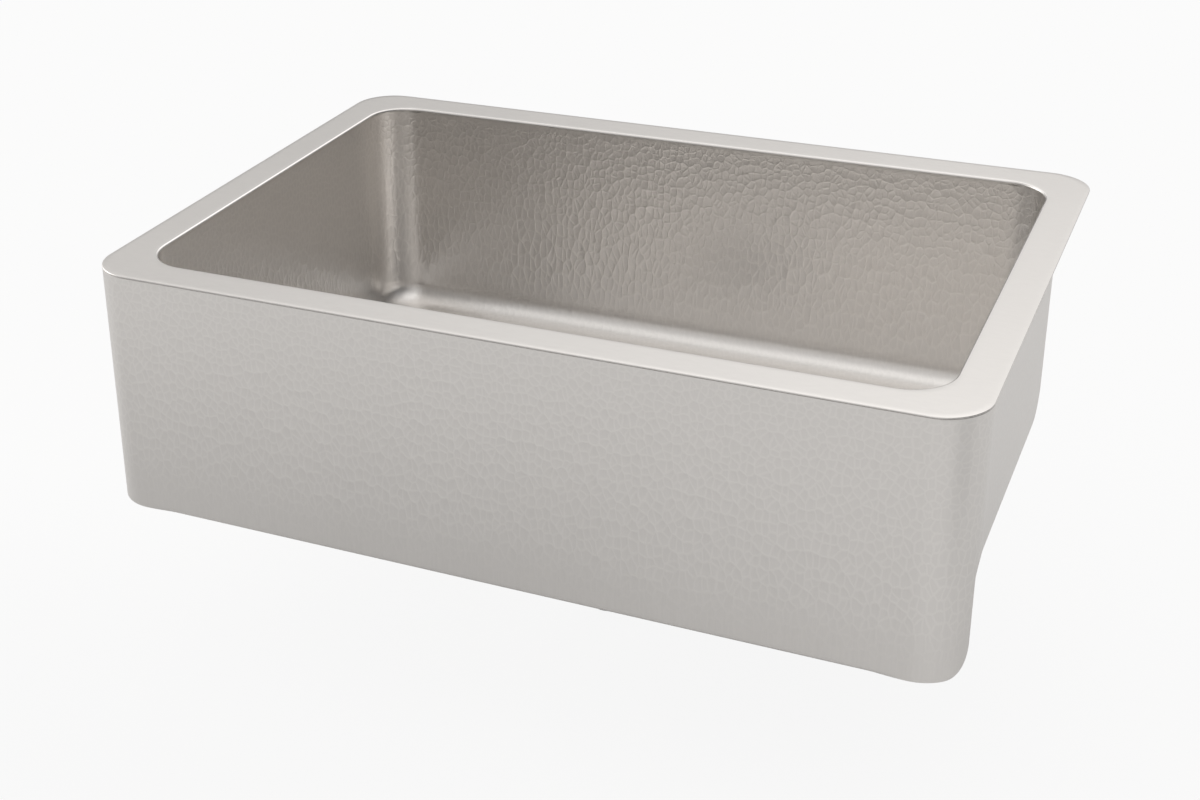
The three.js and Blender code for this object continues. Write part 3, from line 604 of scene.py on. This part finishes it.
def rounded_ring(half_x, front, back, corner, counts):
    """Points (x, y) of a rounded rectangle, anticlockwise from the middle of its front.

    counts are the steps round a corner, along a long side and along a short one.
    """
    around, long_side, short_side = counts
    left, right = corner - half_x, half_x - corner
    low, high = front + corner, back - corner
    ring = []
    for turn, centre in enumerate(((right, low), (right, high), (left, high), (left, low))):
        ring += quarter(centre, corner, 90 * turn - 90, 90 * turn, around)
        ahead = ((right, high), (left, high), (left, low), (right, low))[turn]
        angle = math.radians(90 * turn)
        first = (ahead[0] + corner * math.cos(angle), ahead[1] + corner * math.sin(angle))
        steps = long_side if turn % 2 else short_side
        last = ring[-1]
        ring += [between(last, first, i / steps) for i in range(1, steps)]
    turn_back = long_side // 2
    return ring[-turn_back:] + ring[:-turn_back]


def opening_ring(grow, counts):
    return rounded_ring(
        OPENING_X + grow, OPENING_FRONT - grow, OPENING_BACK + grow, INNER_CORNER + grow, counts
    )


def drain_ring(radius, counts):
    """As many points as the opening's rings, each on its own side of the drain."""
    ring = []
    for x, y in opening_ring(-FLOOR_FILLET, counts):
        angle = math.atan2(y - DRAIN_Y, x)
        ring.append((radius * math.cos(angle), DRAIN_Y + radius * math.sin(angle)))
    return ring


def blended(first, second, share):
    return [between(start, end, share) for start, end in zip(first, second)]


def laid_rings(bm, rings, closed=False, sheet=None):
    """A skin through rings of (points, height), each ring closed on itself."""
    rings = rings + rings[:1] if closed else rings
    count = len(rings[0][0])

    def place(column, row):
        points, z = rings[row]
        x, y = points[column % count]
        return (x, y, z)

    laid_grid(bm, count + 1, len(rings), place, sheet)
    bmesh.ops.remove_doubles(bm, verts=bm.verts, dist=0.01 * MM)


# ---------- rim ----------

RIM_COUNTS = (22, 180, 110)
FLAT_STEPS = 8
# the rolled lip and the outer edge are polished, and carry a painted highlight in a brighter
# colour, where their normals' z lies between these
LIP_HIGHLIGHT = 0.65
EDGE_HIGHLIGHT = 0.3
FLAT_FINISH = 0.98


def make_rim():
    face = quarter((LIP_ROLL, RIM_TOP - LIP_ROLL), LIP_ROLL, 90, 180, 8)
    back_face = quarter((LIP_ROLL, RIM_TOP - LIP_ROLL), LIP_ROLL - SHEET, 180, 90, 3)

    def outline(shrink):
        corner = OUTER_CORNER - shrink
        return rounded_ring(HALF_WIDTH - shrink, FRONT + shrink, BACK - shrink, corner, RIM_COUNTS)

    def inner(grow):
        return opening_ring(grow, RIM_COUNTS)

    flat = inner(LIP_ROLL)
    edge = quarter((RIM_EDGE, RIM_TOP - RIM_EDGE), RIM_EDGE, 180, 90, 4)
    under = quarter((RIM_EDGE, RIM_TOP - SHEET + RIM_EDGE), RIM_EDGE, 270, 180, 4)
    rings = [(outline(shrink), z) for shrink, z in under + edge]
    plate = (blended(outline(RIM_EDGE), flat, i / FLAT_STEPS) for i in range(1, FLAT_STEPS))
    rings += [(points, RIM_TOP) for points in plate]
    rings += [(inner(grow), z) for grow, z in face]
    rings += [(inner(grow), WALL_TOP - LIP_LAP) for grow in (0, SHEET)]
    rings += [(inner(grow), z) for grow, z in back_face]
    bm = bmesh.new()
    laid_rings(bm, rings, closed=True)
    turned_towards(bm, (0, BACK - 15 * MM, RIM_TOP), (0, 0, 1))
    for face in bm.faces:
        inside = abs(face.calc_center_median().x) < OPENING_X + 2 * LIP_ROLL
        highlight_from = LIP_HIGHLIGHT if inside else EDGE_HIGHLIGHT
        face.material_index = int(highlight_from < face.normal.z < FLAT_FINISH)
    rim = add_piece("rim_plate", bm, rim_steel, "sink", "brushed_steel", "rim_deck")
    # painted highlight: the brighter steel on the up-facing part of the lip and outer edge
    rim.data.materials.append(edge_highlight_steel)


# ---------- bowl ----------

INSIDE_COUNTS, INSIDE_STEP = (25, 246, 156), 3.4 * MM
OUTSIDE_COUNTS, OUTSIDE_STEP = (10, 50, 32), 8 * MM
FLOOR_RUN = 77 * MM       # the floor has as many rings as this length has steps


def bowl_rings(offset, counts, step):
    """Rings from the wall's top, round its foot and over the floor to the drain hole."""
    foot_top = FLOOR_FOOT + FLOOR_FILLET
    bend_steps = math.ceil(FLOOR_FILLET * math.pi / 2 / step)
    bend = quarter((-FLOOR_FILLET, foot_top), FLOOR_FILLET + offset, 0, -90, bend_steps)
    rings = [(opening_ring(offset, counts), z) for z in spread(WALL_TOP, foot_top, step)]
    rings += [(opening_ring(grow, counts), z) for grow, z in bend]
    foot = opening_ring(-FLOOR_FILLET, counts)
    shoulder = drain_ring(RECESS_RADIUS + RECESS_SLOPE + offset / 2, counts)
    floor_steps = math.ceil(FLOOR_RUN / step)
    for i in range(1, floor_steps + 1):
        share = i / floor_steps
        rings.append((blended(foot, shoulder, share), FLOOR_FOOT - offset - FLOOR_FALL * share))
    shoulder_level = FLOOR_FOOT - offset - FLOOR_FALL
    for share in (0.25, 0.5, 0.75, 1):
        radius = RECESS_RADIUS + RECESS_SLOPE * (1 - share) + offset / 2
        level = shoulder_level - RECESS_DEPTH * smooth(share, 0, 1)
        rings.append((drain_ring(radius, counts), level))
    rings.append((drain_ring(HOLE_RADIUS, counts), shoulder_level - RECESS_DEPTH))
    return rings


def bowl_sheet(rings):
    """The unrolled place of each point of the bowl, and how hard it was hammered."""
    top_ring = [Vector(p) for p in rings[0][0]]
    around = [0.0]
    for here, after in zip(top_ring, top_ring[1:] + top_ring[:1]):
        around.append(around[-1] + (after - here).length)
    side = len(top_ring) // 4
    down = [0.0]
    for (points, z), (later, later_z) in zip(rings, rings[1:]):
        step = (Vector(later[side]) - Vector(points[side])).length
        down.append(down[-1] + math.hypot(step, later_z - z))

    def sheet(column, row):
        seam = smooth(min(around[column], around[-1] - around[column]), 0, SEAM_PLAIN)
        points, z = rings[row]
        x, y = points[column % len(points)]
        past_recess = math.hypot(x, y - DRAIN_Y) - RECESS_RADIUS
        off_drain = smooth(past_recess, RECESS_SLOPE, DRAIN_PLAIN)
        strength = seam * off_drain * smooth(down[row], WELD_EDGE, SMOOTH_EDGE)
        return around[column], stretched_down(down[row], BOWL_STRETCH), strength

    return sheet


def make_bowl():
    rings = bowl_rings(0, INSIDE_COUNTS, INSIDE_STEP)
    bm = bmesh.new()
    laid_rings(bm, rings, sheet=bowl_sheet(rings))
    turned_towards(bm, (0, OPENING_BACK, -0.1), (0, -1, 0))
    bowl = add_piece("hammered_bowl", bm, bowl_steel, "sink", "hammered_steel", "bowl")
    hammer(bowl)
    settle(bowl)

    outer = bmesh.new()
    rings = bowl_rings(SHEET, OUTSIDE_COUNTS, OUTSIDE_STEP)
    laid_rings(outer, rings, sheet=bowl_sheet(rings))
    turned_towards(outer, (0, OPENING_BACK + SHEET, -0.1), (0, 1, 0))
    skin = bpy.data.meshes.new("outer_skin")
    outer.to_mesh(skin)
    outer.free()
    bm = bmesh.new()
    bm.from_mesh(bowl.data)
    bm.from_mesh(skin)
    bpy.data.meshes.remove(skin)
    open_edges = [edge for edge in bm.edges if edge.is_boundary]
    top_edges = [edge for edge in open_edges if edge.verts[0].co.z > FLOOR_FOOT + FLOOR_FILLET]
    hole_edges = [edge for edge in open_edges if edge.verts[0].co.z <= FLOOR_FOOT + FLOOR_FILLET]
    bmesh.ops.bridge_loops(bm, edges=top_edges)
    bmesh.ops.bridge_loops(bm, edges=hole_edges)
    bmesh.ops.recalc_face_normals(bm, faces=bm.faces)
    bm.to_mesh(bowl.data)
    bm.free()
    bowl.data.set_sharp_from_angle(angle=SHARP_ANGLE)


# ---------- copies of CAD nodes, and turned pieces ----------


def eased(bm, width):
    """Rounds the sharp edges of a closed shape."""
    folded = (edge for edge in bm.edges if edge.is_manifold)
    sharp = [edge for edge in folded if edge.calc_face_angle() > EASED_ANGLE]
    bmesh.ops.bevel(
        bm, geom=sharp, offset=width, offset_type="OFFSET", affect="EDGES", segments=2,
        profile=0.5, material=-1, clamp_overlap=True,
    )


def make_dressed(node, name, material, body, slot, width):
    """A piece in the shape of a CAD node, merged, with its edges eased."""
    bm = bmesh.new()
    bm.from_mesh(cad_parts[node].data)
    bmesh.ops.remove_doubles(bm, verts=bm.verts, dist=0.005 * MM)
    bmesh.ops.dissolve_limit(bm, angle_limit=math.radians(1), verts=bm.verts, edges=bm.edges)
    eased(bm, width)
    return add_piece(name, bm, material, body, slot, node)


def softened(profile, reach, steps=3):
    """A closed profile of (radius, height) with its corners rounded, but for those on the axis."""
    rounded = []
    befores, afters = profile[-1:] + profile[:-1], profile[1:] + profile[:1]
    for before, corner, after in zip(befores, profile, afters):
        corner = Vector(corner)
        if corner.x == 0:
            rounded.append(corner)
            continue
        legs = [Vector(other) - corner for other in (before, after)]
        start, end = (corner + leg * min(CORNER_SHARE, reach / leg.length) for leg in legs)
        for i in range(steps + 1):
            share = i / steps
            rounded.append(start.lerp(corner, share).lerp(corner.lerp(end, share), share))
    return rounded


def spun(profile, steps=TURN_STEPS):
    """A closed profile turned about the drain's upright axis."""
    bm = bmesh.new()
    verts = [bm.verts.new((radius, 0, height)) for radius, height in profile]
    closed = verts[1:] + verts[:1]
    edges = [bm.edges.new(pair) for pair in zip(verts, closed) if pair[0].co.x + pair[1].co.x > 0]
    bmesh.ops.spin(
        bm, geom=verts + edges, axis=(0, 0, 1), cent=(0, 0, 0), angle=2 * math.pi, steps=steps,
        use_merge=True,
    )
    bmesh.ops.remove_doubles(bm, verts=bm.verts, dist=0.002 * MM)
    bmesh.ops.recalc_face_normals(bm, faces=bm.faces)
    bmesh.ops.translate(bm, verts=bm.verts, vec=(0, DRAIN_Y, 0))
    return bm


def ring_profile(inner, outer, low, high):
    return [(inner, low), (outer, low), (outer, high), (inner, high)]


def make_turned(node, name, profile, reach, material, body, slot):
    return add_piece(name, spun(softened(profile, reach)), material, body, slot, node)


# ---------- strainer ----------

FLANGE_RADIUS = 57 * MM
FLANGE_SHEET = 1.2 * MM
FLANGE_CROWN = 1.4 * MM
FLANGE_EDGE = 2 * MM
LEDGE_RADIUS = 45.5 * MM
LEDGE_SLOPE = 1.5 * MM
CUP_RADIUS = 42.6 * MM
CUP_WALL = 1.6 * MM
CUP_DEPTH = 40 * MM
CUP_FLOOR = 3 * MM
CUP_FILLET = 6 * MM
NECK_RADIUS = 23.6 * MM
NECK_BORE = 20 * MM
NECK_FLARE = 4 * MM
SPIDER_DROP = 5 * MM
SPOKE_WIDTH = 3 * MM
HUB_RADIUS = 6 * MM
HUB_TAPER = 0.8 * MM
CUP_ROUNDING = 1.2 * MM
SEAL_PLAY = 1 * MM        # between the flange's seal and the hole
PIPE_RADIUS = 19.05 * MM
PIPE_WALL = 1.2 * MM
COUPLING_RADIUS = 28 * MM
COUPLING_LUG = 2.5 * MM
COUPLING_LIP = 2.5 * MM
LOCKNUT_RADIUS = 52 * MM
LOCKNUT_LUG = 5 * MM
LUG_SHARE = 0.62          # of the way round a nut that its lugs take up
NUT_EDGE = 0.5 * MM

strainer_low, strainer_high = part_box("strainer_body")
FLANGE_LOW = strainer_high.z - FLANGE_SHEET - FLANGE_CROWN
LEDGE = FLANGE_LOW + FLANGE_SHEET
CUP_LOW = FLANGE_LOW - CUP_DEPTH


def make_strainer():
    bore = CUP_RADIUS - CUP_WALL
    under = CUP_LOW - CUP_FLOOR
    profile = [
        (FLANGE_RADIUS, FLANGE_LOW),
        (FLANGE_RADIUS, LEDGE),
        (FLANGE_RADIUS - FLANGE_EDGE, strainer_high.z),
        (LEDGE_RADIUS + LEDGE_SLOPE, strainer_high.z),
        (LEDGE_RADIUS, LEDGE),
        (bore, LEDGE),
        (bore, CUP_LOW + CUP_FILLET),
        (bore - CUP_FILLET, CUP_LOW),
        (NECK_BORE, CUP_LOW),
        (NECK_BORE, strainer_low.z),
        (NECK_RADIUS, strainer_low.z),
        (NECK_RADIUS, under - NECK_FLARE),
        (NECK_RADIUS + NECK_FLARE, under),
        (CUP_RADIUS - CUP_FILLET, under),
        (CUP_RADIUS, under + CUP_FILLET),
        (CUP_RADIUS, FLANGE_LOW),
    ]
    bm = spun(softened(profile, CUP_ROUNDING, 4))
    top = CUP_LOW - SPIDER_DROP
    for turn in (0, 90):
        made = bmesh.ops.create_cube(bm, size=1)
        size = (2 * NECK_BORE + SPOKE_WIDTH / 2, SPOKE_WIDTH, CUP_FLOOR)
        bmesh.ops.scale(bm, verts=made["verts"], vec=size)
        spin = Matrix.Rotation(math.radians(turn), 4, "Z")
        place = Matrix.Translation((0, DRAIN_Y, top - CUP_FLOOR / 2))
        bmesh.ops.transform(bm, verts=made["verts"], matrix=place @ spin)
    made = bmesh.ops.create_cone(
        bm, cap_ends=True, segments=48, radius1=HUB_RADIUS, radius2=HUB_RADIUS - HUB_TAPER,
        depth=CUP_FLOOR,
    )
    bmesh.ops.translate(bm, verts=made["verts"], vec=(0, DRAIN_Y, top - CUP_FLOOR / 2))
    add_piece("strainer_cup", bm, polished_steel, "sink", "polished_steel", "strainer_body")


def make_lugged_nut(node, name, profile, lugs, lug_height, material, slot):
    """A turned nut with lugs drawn out of its side."""
    bm = spun(profile)
    radius = max(r for r, _ in profile)
    pitch = 2 * math.pi / lugs

    def on_lug(face):
        middle = face.calc_center_median()
        flat = Vector((middle.x, middle.y - DRAIN_Y))
        turn = math.atan2(flat.y, flat.x) % pitch
        near = min(turn, pitch - turn) < LUG_SHARE * pitch / 4
        return near and flat.length > 0.99 * radius and abs(face.normal.z) < 0.5

    drawn = bmesh.ops.extrude_face_region(bm, geom=[face for face in bm.faces if on_lug(face)])
    moved = [item for item in drawn["geom"] if isinstance(item, bmesh.types.BMVert)]
    grow = 1 + lug_height / radius
    about = Matrix.Translation((0, -DRAIN_Y, 0))
    bmesh.ops.scale(bm, verts=moved, vec=(grow, grow, 1), space=about)
    bmesh.ops.recalc_face_normals(bm, faces=bm.faces)
    eased(bm, NUT_EDGE)
    add_piece(name, bm, material, "sink", slot, node)


def make_drain_seals():
    """The rings that lie on each other round the strainer's cup and pipe."""
    round_hole = HOLE_RADIUS + SEAL_PLAY
    round_cup = CUP_RADIUS + SEAT_GAP
    for node, name, material, slot, bore, reach in (
        ("flange_seal", "flange_ring", seal_rubber, "seal_rubber", round_hole, 0.4 * MM),
        ("drain_gasket", "gasket_ring", seal_rubber, "seal_rubber", round_cup, 0.8 * MM),
        ("friction_ring", "fibre_ring", pressed_fibre, "fibre", round_cup, 0.2 * MM),
        ("tailpiece_washer", "pipe_washer", seal_rubber, "seal_rubber", PIPE_RADIUS, 0.4 * MM),
    ):
        low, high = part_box(node)
        profile = ring_profile(bore, high.x, low.z, high.z)
        make_turned(node, name, profile, reach, material, "sink", slot)


def make_outlet():
    bore = PIPE_RADIUS - PIPE_WALL
    flange_low = pipe_high.z - PIPE_WALL
    profile = [
        (bore, pipe_low.z),
        (PIPE_RADIUS, pipe_low.z),
        (PIPE_RADIUS, flange_low),
        (pipe_high.x, flange_low),
        (pipe_high.x, pipe_high.z),
        (bore, pipe_high.z),
    ]
    make_turned(
        "tailpiece", "outlet_pipe", profile, 0.5 * MM, polished_steel, "sink", "polished_steel"
    )
    low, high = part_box("coupling_nut")
    profile = [
        (PIPE_RADIUS + SEAT_GAP, low.z),
        (COUPLING_RADIUS, low.z),
        (COUPLING_RADIUS, high.z),
        (NECK_RADIUS + SEAT_GAP, high.z),
        (NECK_RADIUS + SEAT_GAP, low.z + COUPLING_LIP),
        (PIPE_RADIUS + SEAT_GAP, low.z + COUPLING_LIP),
    ]
    make_lugged_nut(
        "coupling_nut", "pipe_nut", profile, 6, COUPLING_LUG, polished_steel, "polished_steel"
    )
    low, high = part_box("locknut")
    profile = ring_profile(CUP_RADIUS + SEAT_GAP, LOCKNUT_RADIUS, low.z, high.z)
    make_lugged_nut("locknut", "drain_nut", profile, 8, LOCKNUT_LUG, cast_metal, "cast_metal")


# ---------- basket ----------

basket_low, basket_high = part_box("basket")
BASKET_SHEET = 1 * MM
BASKET_TOP_RADIUS = 39 * MM
BASKET_FOOT_RADIUS = 35 * MM
BASKET_FILLET = 4 * MM
BASKET_STEPS = 120
CUTTER_DEPTH = 16 * MM
POST_RADIUS = 2.5 * MM
POST_PLAY = 0.35 * MM
GUIDE_CHAMFER = 1 * MM
GUIDE_HOLE = 4.3 * MM
SLOT_COUNT = 20
SLOT_WIDTH = 3 * MM
SLOT_LENGTH = 11 * MM
HOLE_RINGS = ((8, 14 * MM), (14, 25.4 * MM))
FLOOR_HOLE_RADIUS = 2.4 * MM


def drain_place(turn, radius, level):
    """A frame at a radius round the drain's axis, its x pointing outwards."""
    turned = Matrix.Rotation(turn, 4, "Z")
    return Matrix.Translation((0, DRAIN_Y, level)) @ turned @ Matrix.Translation((radius, 0, 0))


def basket_cutters():
    bm = bmesh.new()
    level = (basket_low.z + BASKET_FILLET + basket_high.z - BASKET_SHEET) / 2
    for i in range(SLOT_COUNT):
        place = drain_place(2 * math.pi * (i + 0.25) / SLOT_COUNT, BASKET_FOOT_RADIUS, level)
        for end in (-1, 1):
            shift = Matrix.Translation((0, 0, end * (SLOT_LENGTH - SLOT_WIDTH) / 2))
            lying = Matrix.Rotation(math.radians(90), 4, "Y")
            bmesh.ops.create_cone(
                bm, cap_ends=True, segments=16, radius1=SLOT_WIDTH / 2, radius2=SLOT_WIDTH / 2,
                depth=CUTTER_DEPTH, matrix=place @ shift @ lying,
            )
        size = Matrix.Diagonal((CUTTER_DEPTH, SLOT_WIDTH, SLOT_LENGTH - SLOT_WIDTH, 1))
        bmesh.ops.create_cube(bm, size=1, matrix=place @ size)
    for count, radius in HOLE_RINGS:
        for i in range(count):
            place = drain_place(2 * math.pi * i / count, radius, basket_low.z)
            bmesh.ops.create_cone(
                bm, cap_ends=True, segments=16, radius1=FLOOR_HOLE_RADIUS,
                radius2=FLOOR_HOLE_RADIUS, depth=4 * BASKET_SHEET, matrix=place,
            )
    mesh = bpy.data.meshes.new("basket_cutters")
    bm.to_mesh(mesh)
    bm.free()
    cutters = bpy.data.objects.new("basket_cutters", mesh)
    bpy.context.scene.collection.objects.link(cutters)
    return cutters


def make_basket():
    low, high, sheet = basket_low.z, basket_high.z, BASKET_SHEET
    foot = BASKET_FOOT_RADIUS - BASKET_FILLET
    profile = [
        (GUIDE_HOLE, low),
        *quarter((foot, low + BASKET_FILLET), BASKET_FILLET, -90, 0, 6),
        (BASKET_TOP_RADIUS, high - 2 * sheet),
        (BASKET_TOP_RADIUS + sheet, high - sheet),
        (basket_high.x, high - sheet),
        (basket_high.x, high),
        (BASKET_TOP_RADIUS, high),
        (BASKET_TOP_RADIUS - sheet, high - sheet),
        *quarter((foot, low + BASKET_FILLET), BASKET_FILLET - sheet, 0, -90, 6),
        (GUIDE_HOLE, low + sheet),
    ]
    bm = spun(softened(profile, 0.35 * MM, 2), BASKET_STEPS)
    basket = add_piece("strainer_basket", bm, polished_steel, "basket", "polished_steel", "basket")
    cutters = basket_cutters()
    cut = basket.modifiers.new("holes", "BOOLEAN")
    cut.operation = "DIFFERENCE"
    cut.solver = "EXACT"
    cut.use_self = True
    cut.object = cutters
    settle(basket)
    mesh = cutters.data
    bpy.data.objects.remove(cutters)
    bpy.data.meshes.remove(mesh)
    basket.data.set_sharp_from_angle(angle=SHARP_ANGLE)
    low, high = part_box("post_guide")
    bore = POST_RADIUS + POST_PLAY
    barrel = GUIDE_HOLE - SEAT_GAP
    shoulder = basket_low.z + BASKET_SHEET + SEAT_GAP
    profile = [
        (bore, low.z),
        (barrel, low.z),
        (barrel, shoulder),
        (high.x, shoulder),
        (high.x - GUIDE_CHAMFER, high.z),
        (bore, high.z),
    ]
    make_turned("post_guide", "guide_bush", profile, 0.3 * MM, white_bush, "basket", "white_bush")


# ---------- stopper ----------

STOPPER_TRAVEL = 10 * MM
COLLAR_STEP = 2 * MM
PLUG_TOP_RADIUS = 18 * MM
PLUG_CHAMFER = 1 * MM
# the pull knob's outline, as shares of its radius and of its height
KNOB_OUTLINE = ((0.5, 0), (0.45, 0.3), (0.9, 0.5), (1, 0.65), (0.93, 0.88), (0.6, 1))


def make_stopper():
    low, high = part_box("stopper_post")
    collar_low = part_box("stopper_washer")[1].z + SEAT_GAP
    collar_high = basket_low.z - STOPPER_TRAVEL - SEAT_GAP
    collar = POST_RADIUS + COLLAR_STEP
    profile = [
        (0, low.z),
        (POST_RADIUS, low.z),
        (POST_RADIUS, collar_low),
        (collar, collar_low),
        (collar, collar_high),
        (POST_RADIUS, collar_high),
        (POST_RADIUS, high.z),
        (0, high.z),
    ]
    steel = polished_steel, "stopper", "polished_steel"
    make_turned("stopper_post", "stopper_rod", profile, 0.3 * MM, *steel)
    hole = POST_RADIUS + SEAT_GAP
    low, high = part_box("stopper_seal")
    profile = [
        (hole, low.z),
        (high.x - PLUG_CHAMFER, low.z),
        (high.x, low.z + PLUG_CHAMFER),
        (PLUG_TOP_RADIUS, high.z),
        (hole, high.z),
    ]
    make_turned(
        "stopper_seal", "rubber_plug", profile, 0.6 * MM, seal_rubber, "stopper", "seal_rubber"
    )
    low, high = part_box("stopper_washer")
    profile = ring_profile(hole, high.x, low.z, high.z)
    make_turned("stopper_washer", "plug_washer", profile, 0.3 * MM, *steel)
    make_dressed("stopper_nut", "plug_nut", cast_metal, "stopper", "cast_metal", 0.3 * MM)
    low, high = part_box("stopper_knob")
    tall = high.z - low.z
    profile = [(high.x * out, low.z + tall * up) for out, up in KNOB_OUTLINE]
    profile = [(0, low.z), *profile, (0, high.z)]
    make_turned("stopper_knob", "pull_knob", profile, 2.5 * MM, *steel)


# ---------- stays and pads ----------

STAY_EDGE = 0.4 * MM
PAD_EDGE = 0.9 * MM


def make_stays_and_pads():
    for side in ("left", "right"):
        node, name = f"apron_stay_{side}", f"stay_{side}"
        make_dressed(node, name, strip_steel, "sink", "cast_metal", STAY_EDGE)
    for place in ("floor_left", "floor_right", "side_left", "side_right", "back", "front"):
        node, name = f"pad_{place}", f"sound_pad_{place}"
        make_dressed(node, name, pad_rubber, "sink", "pad_rubber", PAD_EDGE)


# ---------- floor, light and camera ----------

FLOOR_LEVEL = pipe_low.z - 2 * MM
PAINTED_SHADE_GREY = 0.62         # painted shade: the floor's grey close before the apron, whose foot mirrors it
FLOOR_FAR = 0.85          # and further off
PAINTED_FLOOR_SHADES = (          # spots of painted shade, as (x, y) and how soon each fades along x and y
    ((-0.45, FRONT - 0.2), (0.8, 1.4)),
    ((1.2, FRONT - 0.3), (1.6, 1.6)),
)
PAINTED_SHADE_FADE = (0.1, 0.8)
FLOOR_REACH = 12.0        # from the middle to each side
WHITE_SEEN = 0.9          # share of plain white that the camera sees in the floor
WHITE_MIRRORED = 0.1      # and that metal sees, beside the floor as it is lit


def white_share(bench):
    """How much of plain white a ray sees: most from the camera, a little by metal and glass."""
    path = bench.node("ShaderNodeLightPath").socket.node
    rays = ("Is Camera Ray", "Is Glossy Ray", "Is Transmission Ray")
    seen, glossy, through = (Wire(bench, path.outputs[name]) for name in rays)
    return seen * WHITE_SEEN + (glossy + through) * WHITE_MIRRORED


def make_floor():
    bm = bmesh.new()
    bmesh.ops.create_grid(bm, x_segments=1, y_segments=1, size=FLOOR_REACH)
    bmesh.ops.translate(bm, verts=bm.verts, vec=(0, 0, FLOOR_LEVEL))
    mesh = bpy.data.meshes.new("floor")
    bm.to_mesh(mesh)
    bm.free()
    floor = bpy.data.objects.new("floor", mesh)
    bpy.context.scene.collection.objects.link(floor)
    material = bpy.data.materials.new("floor_white")
    material.use_nodes = True
    tree = material.node_tree
    tree.nodes.remove(tree.nodes["Principled BSDF"])
    bench = Bench(tree)
    place = bench.node("ShaderNodeTexCoord", out="Object")
    # painted shade: the floor's grey darkens towards each of the spots
    light = 1.0
    for spot, reach in PAINTED_FLOOR_SHADES:
        away = bench.vector("SUBTRACT", place, (*spot, FLOOR_LEVEL))
        away = bench.vector("MULTIPLY", away, (*reach, 0.0))
        away = bench.node("ShaderNodeVectorMath", {"operation": "LENGTH"}, "Value", {0: away})
        light = bench.rise(away, *PAINTED_SHADE_FADE) * light
    shade = bench.between(grey(PAINTED_SHADE_GREY), grey(FLOOR_FAR), light)
    plain = bench.node("ShaderNodeBsdfDiffuse", sockets={"Color": shade})
    white = bench.node("ShaderNodeEmission", sockets={"Color": grey(1.0), "Strength": 1.0})
    both = bench.node("ShaderNodeMixShader", sockets={0: white_share(bench), 1: plain, 2: white})
    bench.feed(tree.nodes["Material Output"], "Surface", both)
    mesh.materials.append(material)
    floor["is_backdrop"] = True


# heading from the front towards the right and height above the floor, both in degrees, and level
SOFT_LIGHTS = (
    (270, 12, 3.0),
    (180, 42, 1.3),
    (0, 68, 1.05),
    (0, 12, 0.65),
    (225, 42, 0.6),
    (90, 68, 0.4),
    (150, 12, 0.35),
    (315, 42, 0.3),
)
STUDIO_WHITE = (1.0, 0.985, 0.97, 1.0)
LIGHT_FOCUS = 8.0         # power of the cosine by which each light fades to its sides


def make_light():
    """A studio of broad soft lights all round, and white where the camera sees past the floor."""
    world = bpy.data.worlds.new("studio")
    bpy.context.scene.world = world
    world.use_nodes = True
    bench = Bench(world.node_tree)
    background = world.node_tree.nodes["Background"]
    background.inputs["Color"].default_value = STUDIO_WHITE
    direction = bench.node("ShaderNodeTexCoord", out="Generated")
    glow = 0.0
    for heading, height, level in SOFT_LIGHTS:
        turn, rise = math.radians(heading), math.radians(height)
        level_share = math.cos(rise)
        towards = (math.sin(turn) * level_share, -math.cos(turn) * level_share, math.sin(rise))
        sockets = {0: direction, 1: towards}
        facing = bench.node("ShaderNodeVectorMath", {"operation": "DOT_PRODUCT"}, "Value", sockets)
        glow = glow + bench.maths("MAXIMUM", facing, 0.0) ** LIGHT_FOCUS * level
    bench.feed(background, "Strength", bench.mixed(glow, 1.0, white_share(bench)))
    bpy.context.scene.view_settings.view_transform = "Standard"


CAMERA_PLACE = (0.5522, -1.7122, 0.6120)
CAMERA_HEADING = 25.21
CAMERA_TILT = 23.81
CAMERA_ROLL = 1.42
CAMERA_LENS = 55.83
CAMERA_SHIFT = (0.1018, -0.0808)


def make_camera():
    lens = bpy.data.cameras.new("camera")
    lens.sensor_width = 36
    lens.lens = CAMERA_LENS
    lens.shift_x, lens.shift_y = CAMERA_SHIFT
    camera = bpy.data.objects.new("camera", lens)
    turn = Matrix.Rotation(math.radians(CAMERA_HEADING), 4, "Z")
    turn = turn @ Matrix.Rotation(math.radians(90 - CAMERA_TILT), 4, "X")
    turn = turn @ Matrix.Rotation(math.radians(-CAMERA_ROLL), 4, "Z")
    camera.matrix_world = Matrix.Translation(CAMERA_PLACE) @ turn
    bpy.context.scene.collection.objects.link(camera)
    bpy.context.scene.camera = camera


make_camera()
make_floor()
make_light()
make_apron()
make_rim()
make_bowl()
make_strainer()
make_drain_seals()
make_outlet()
make_basket()
make_stopper()
make_stays_and_pads()

boxes = {"cad": cad_box, "visual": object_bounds()}
{key: [list(corner) for corner in box] for key, box in boxes.items()}
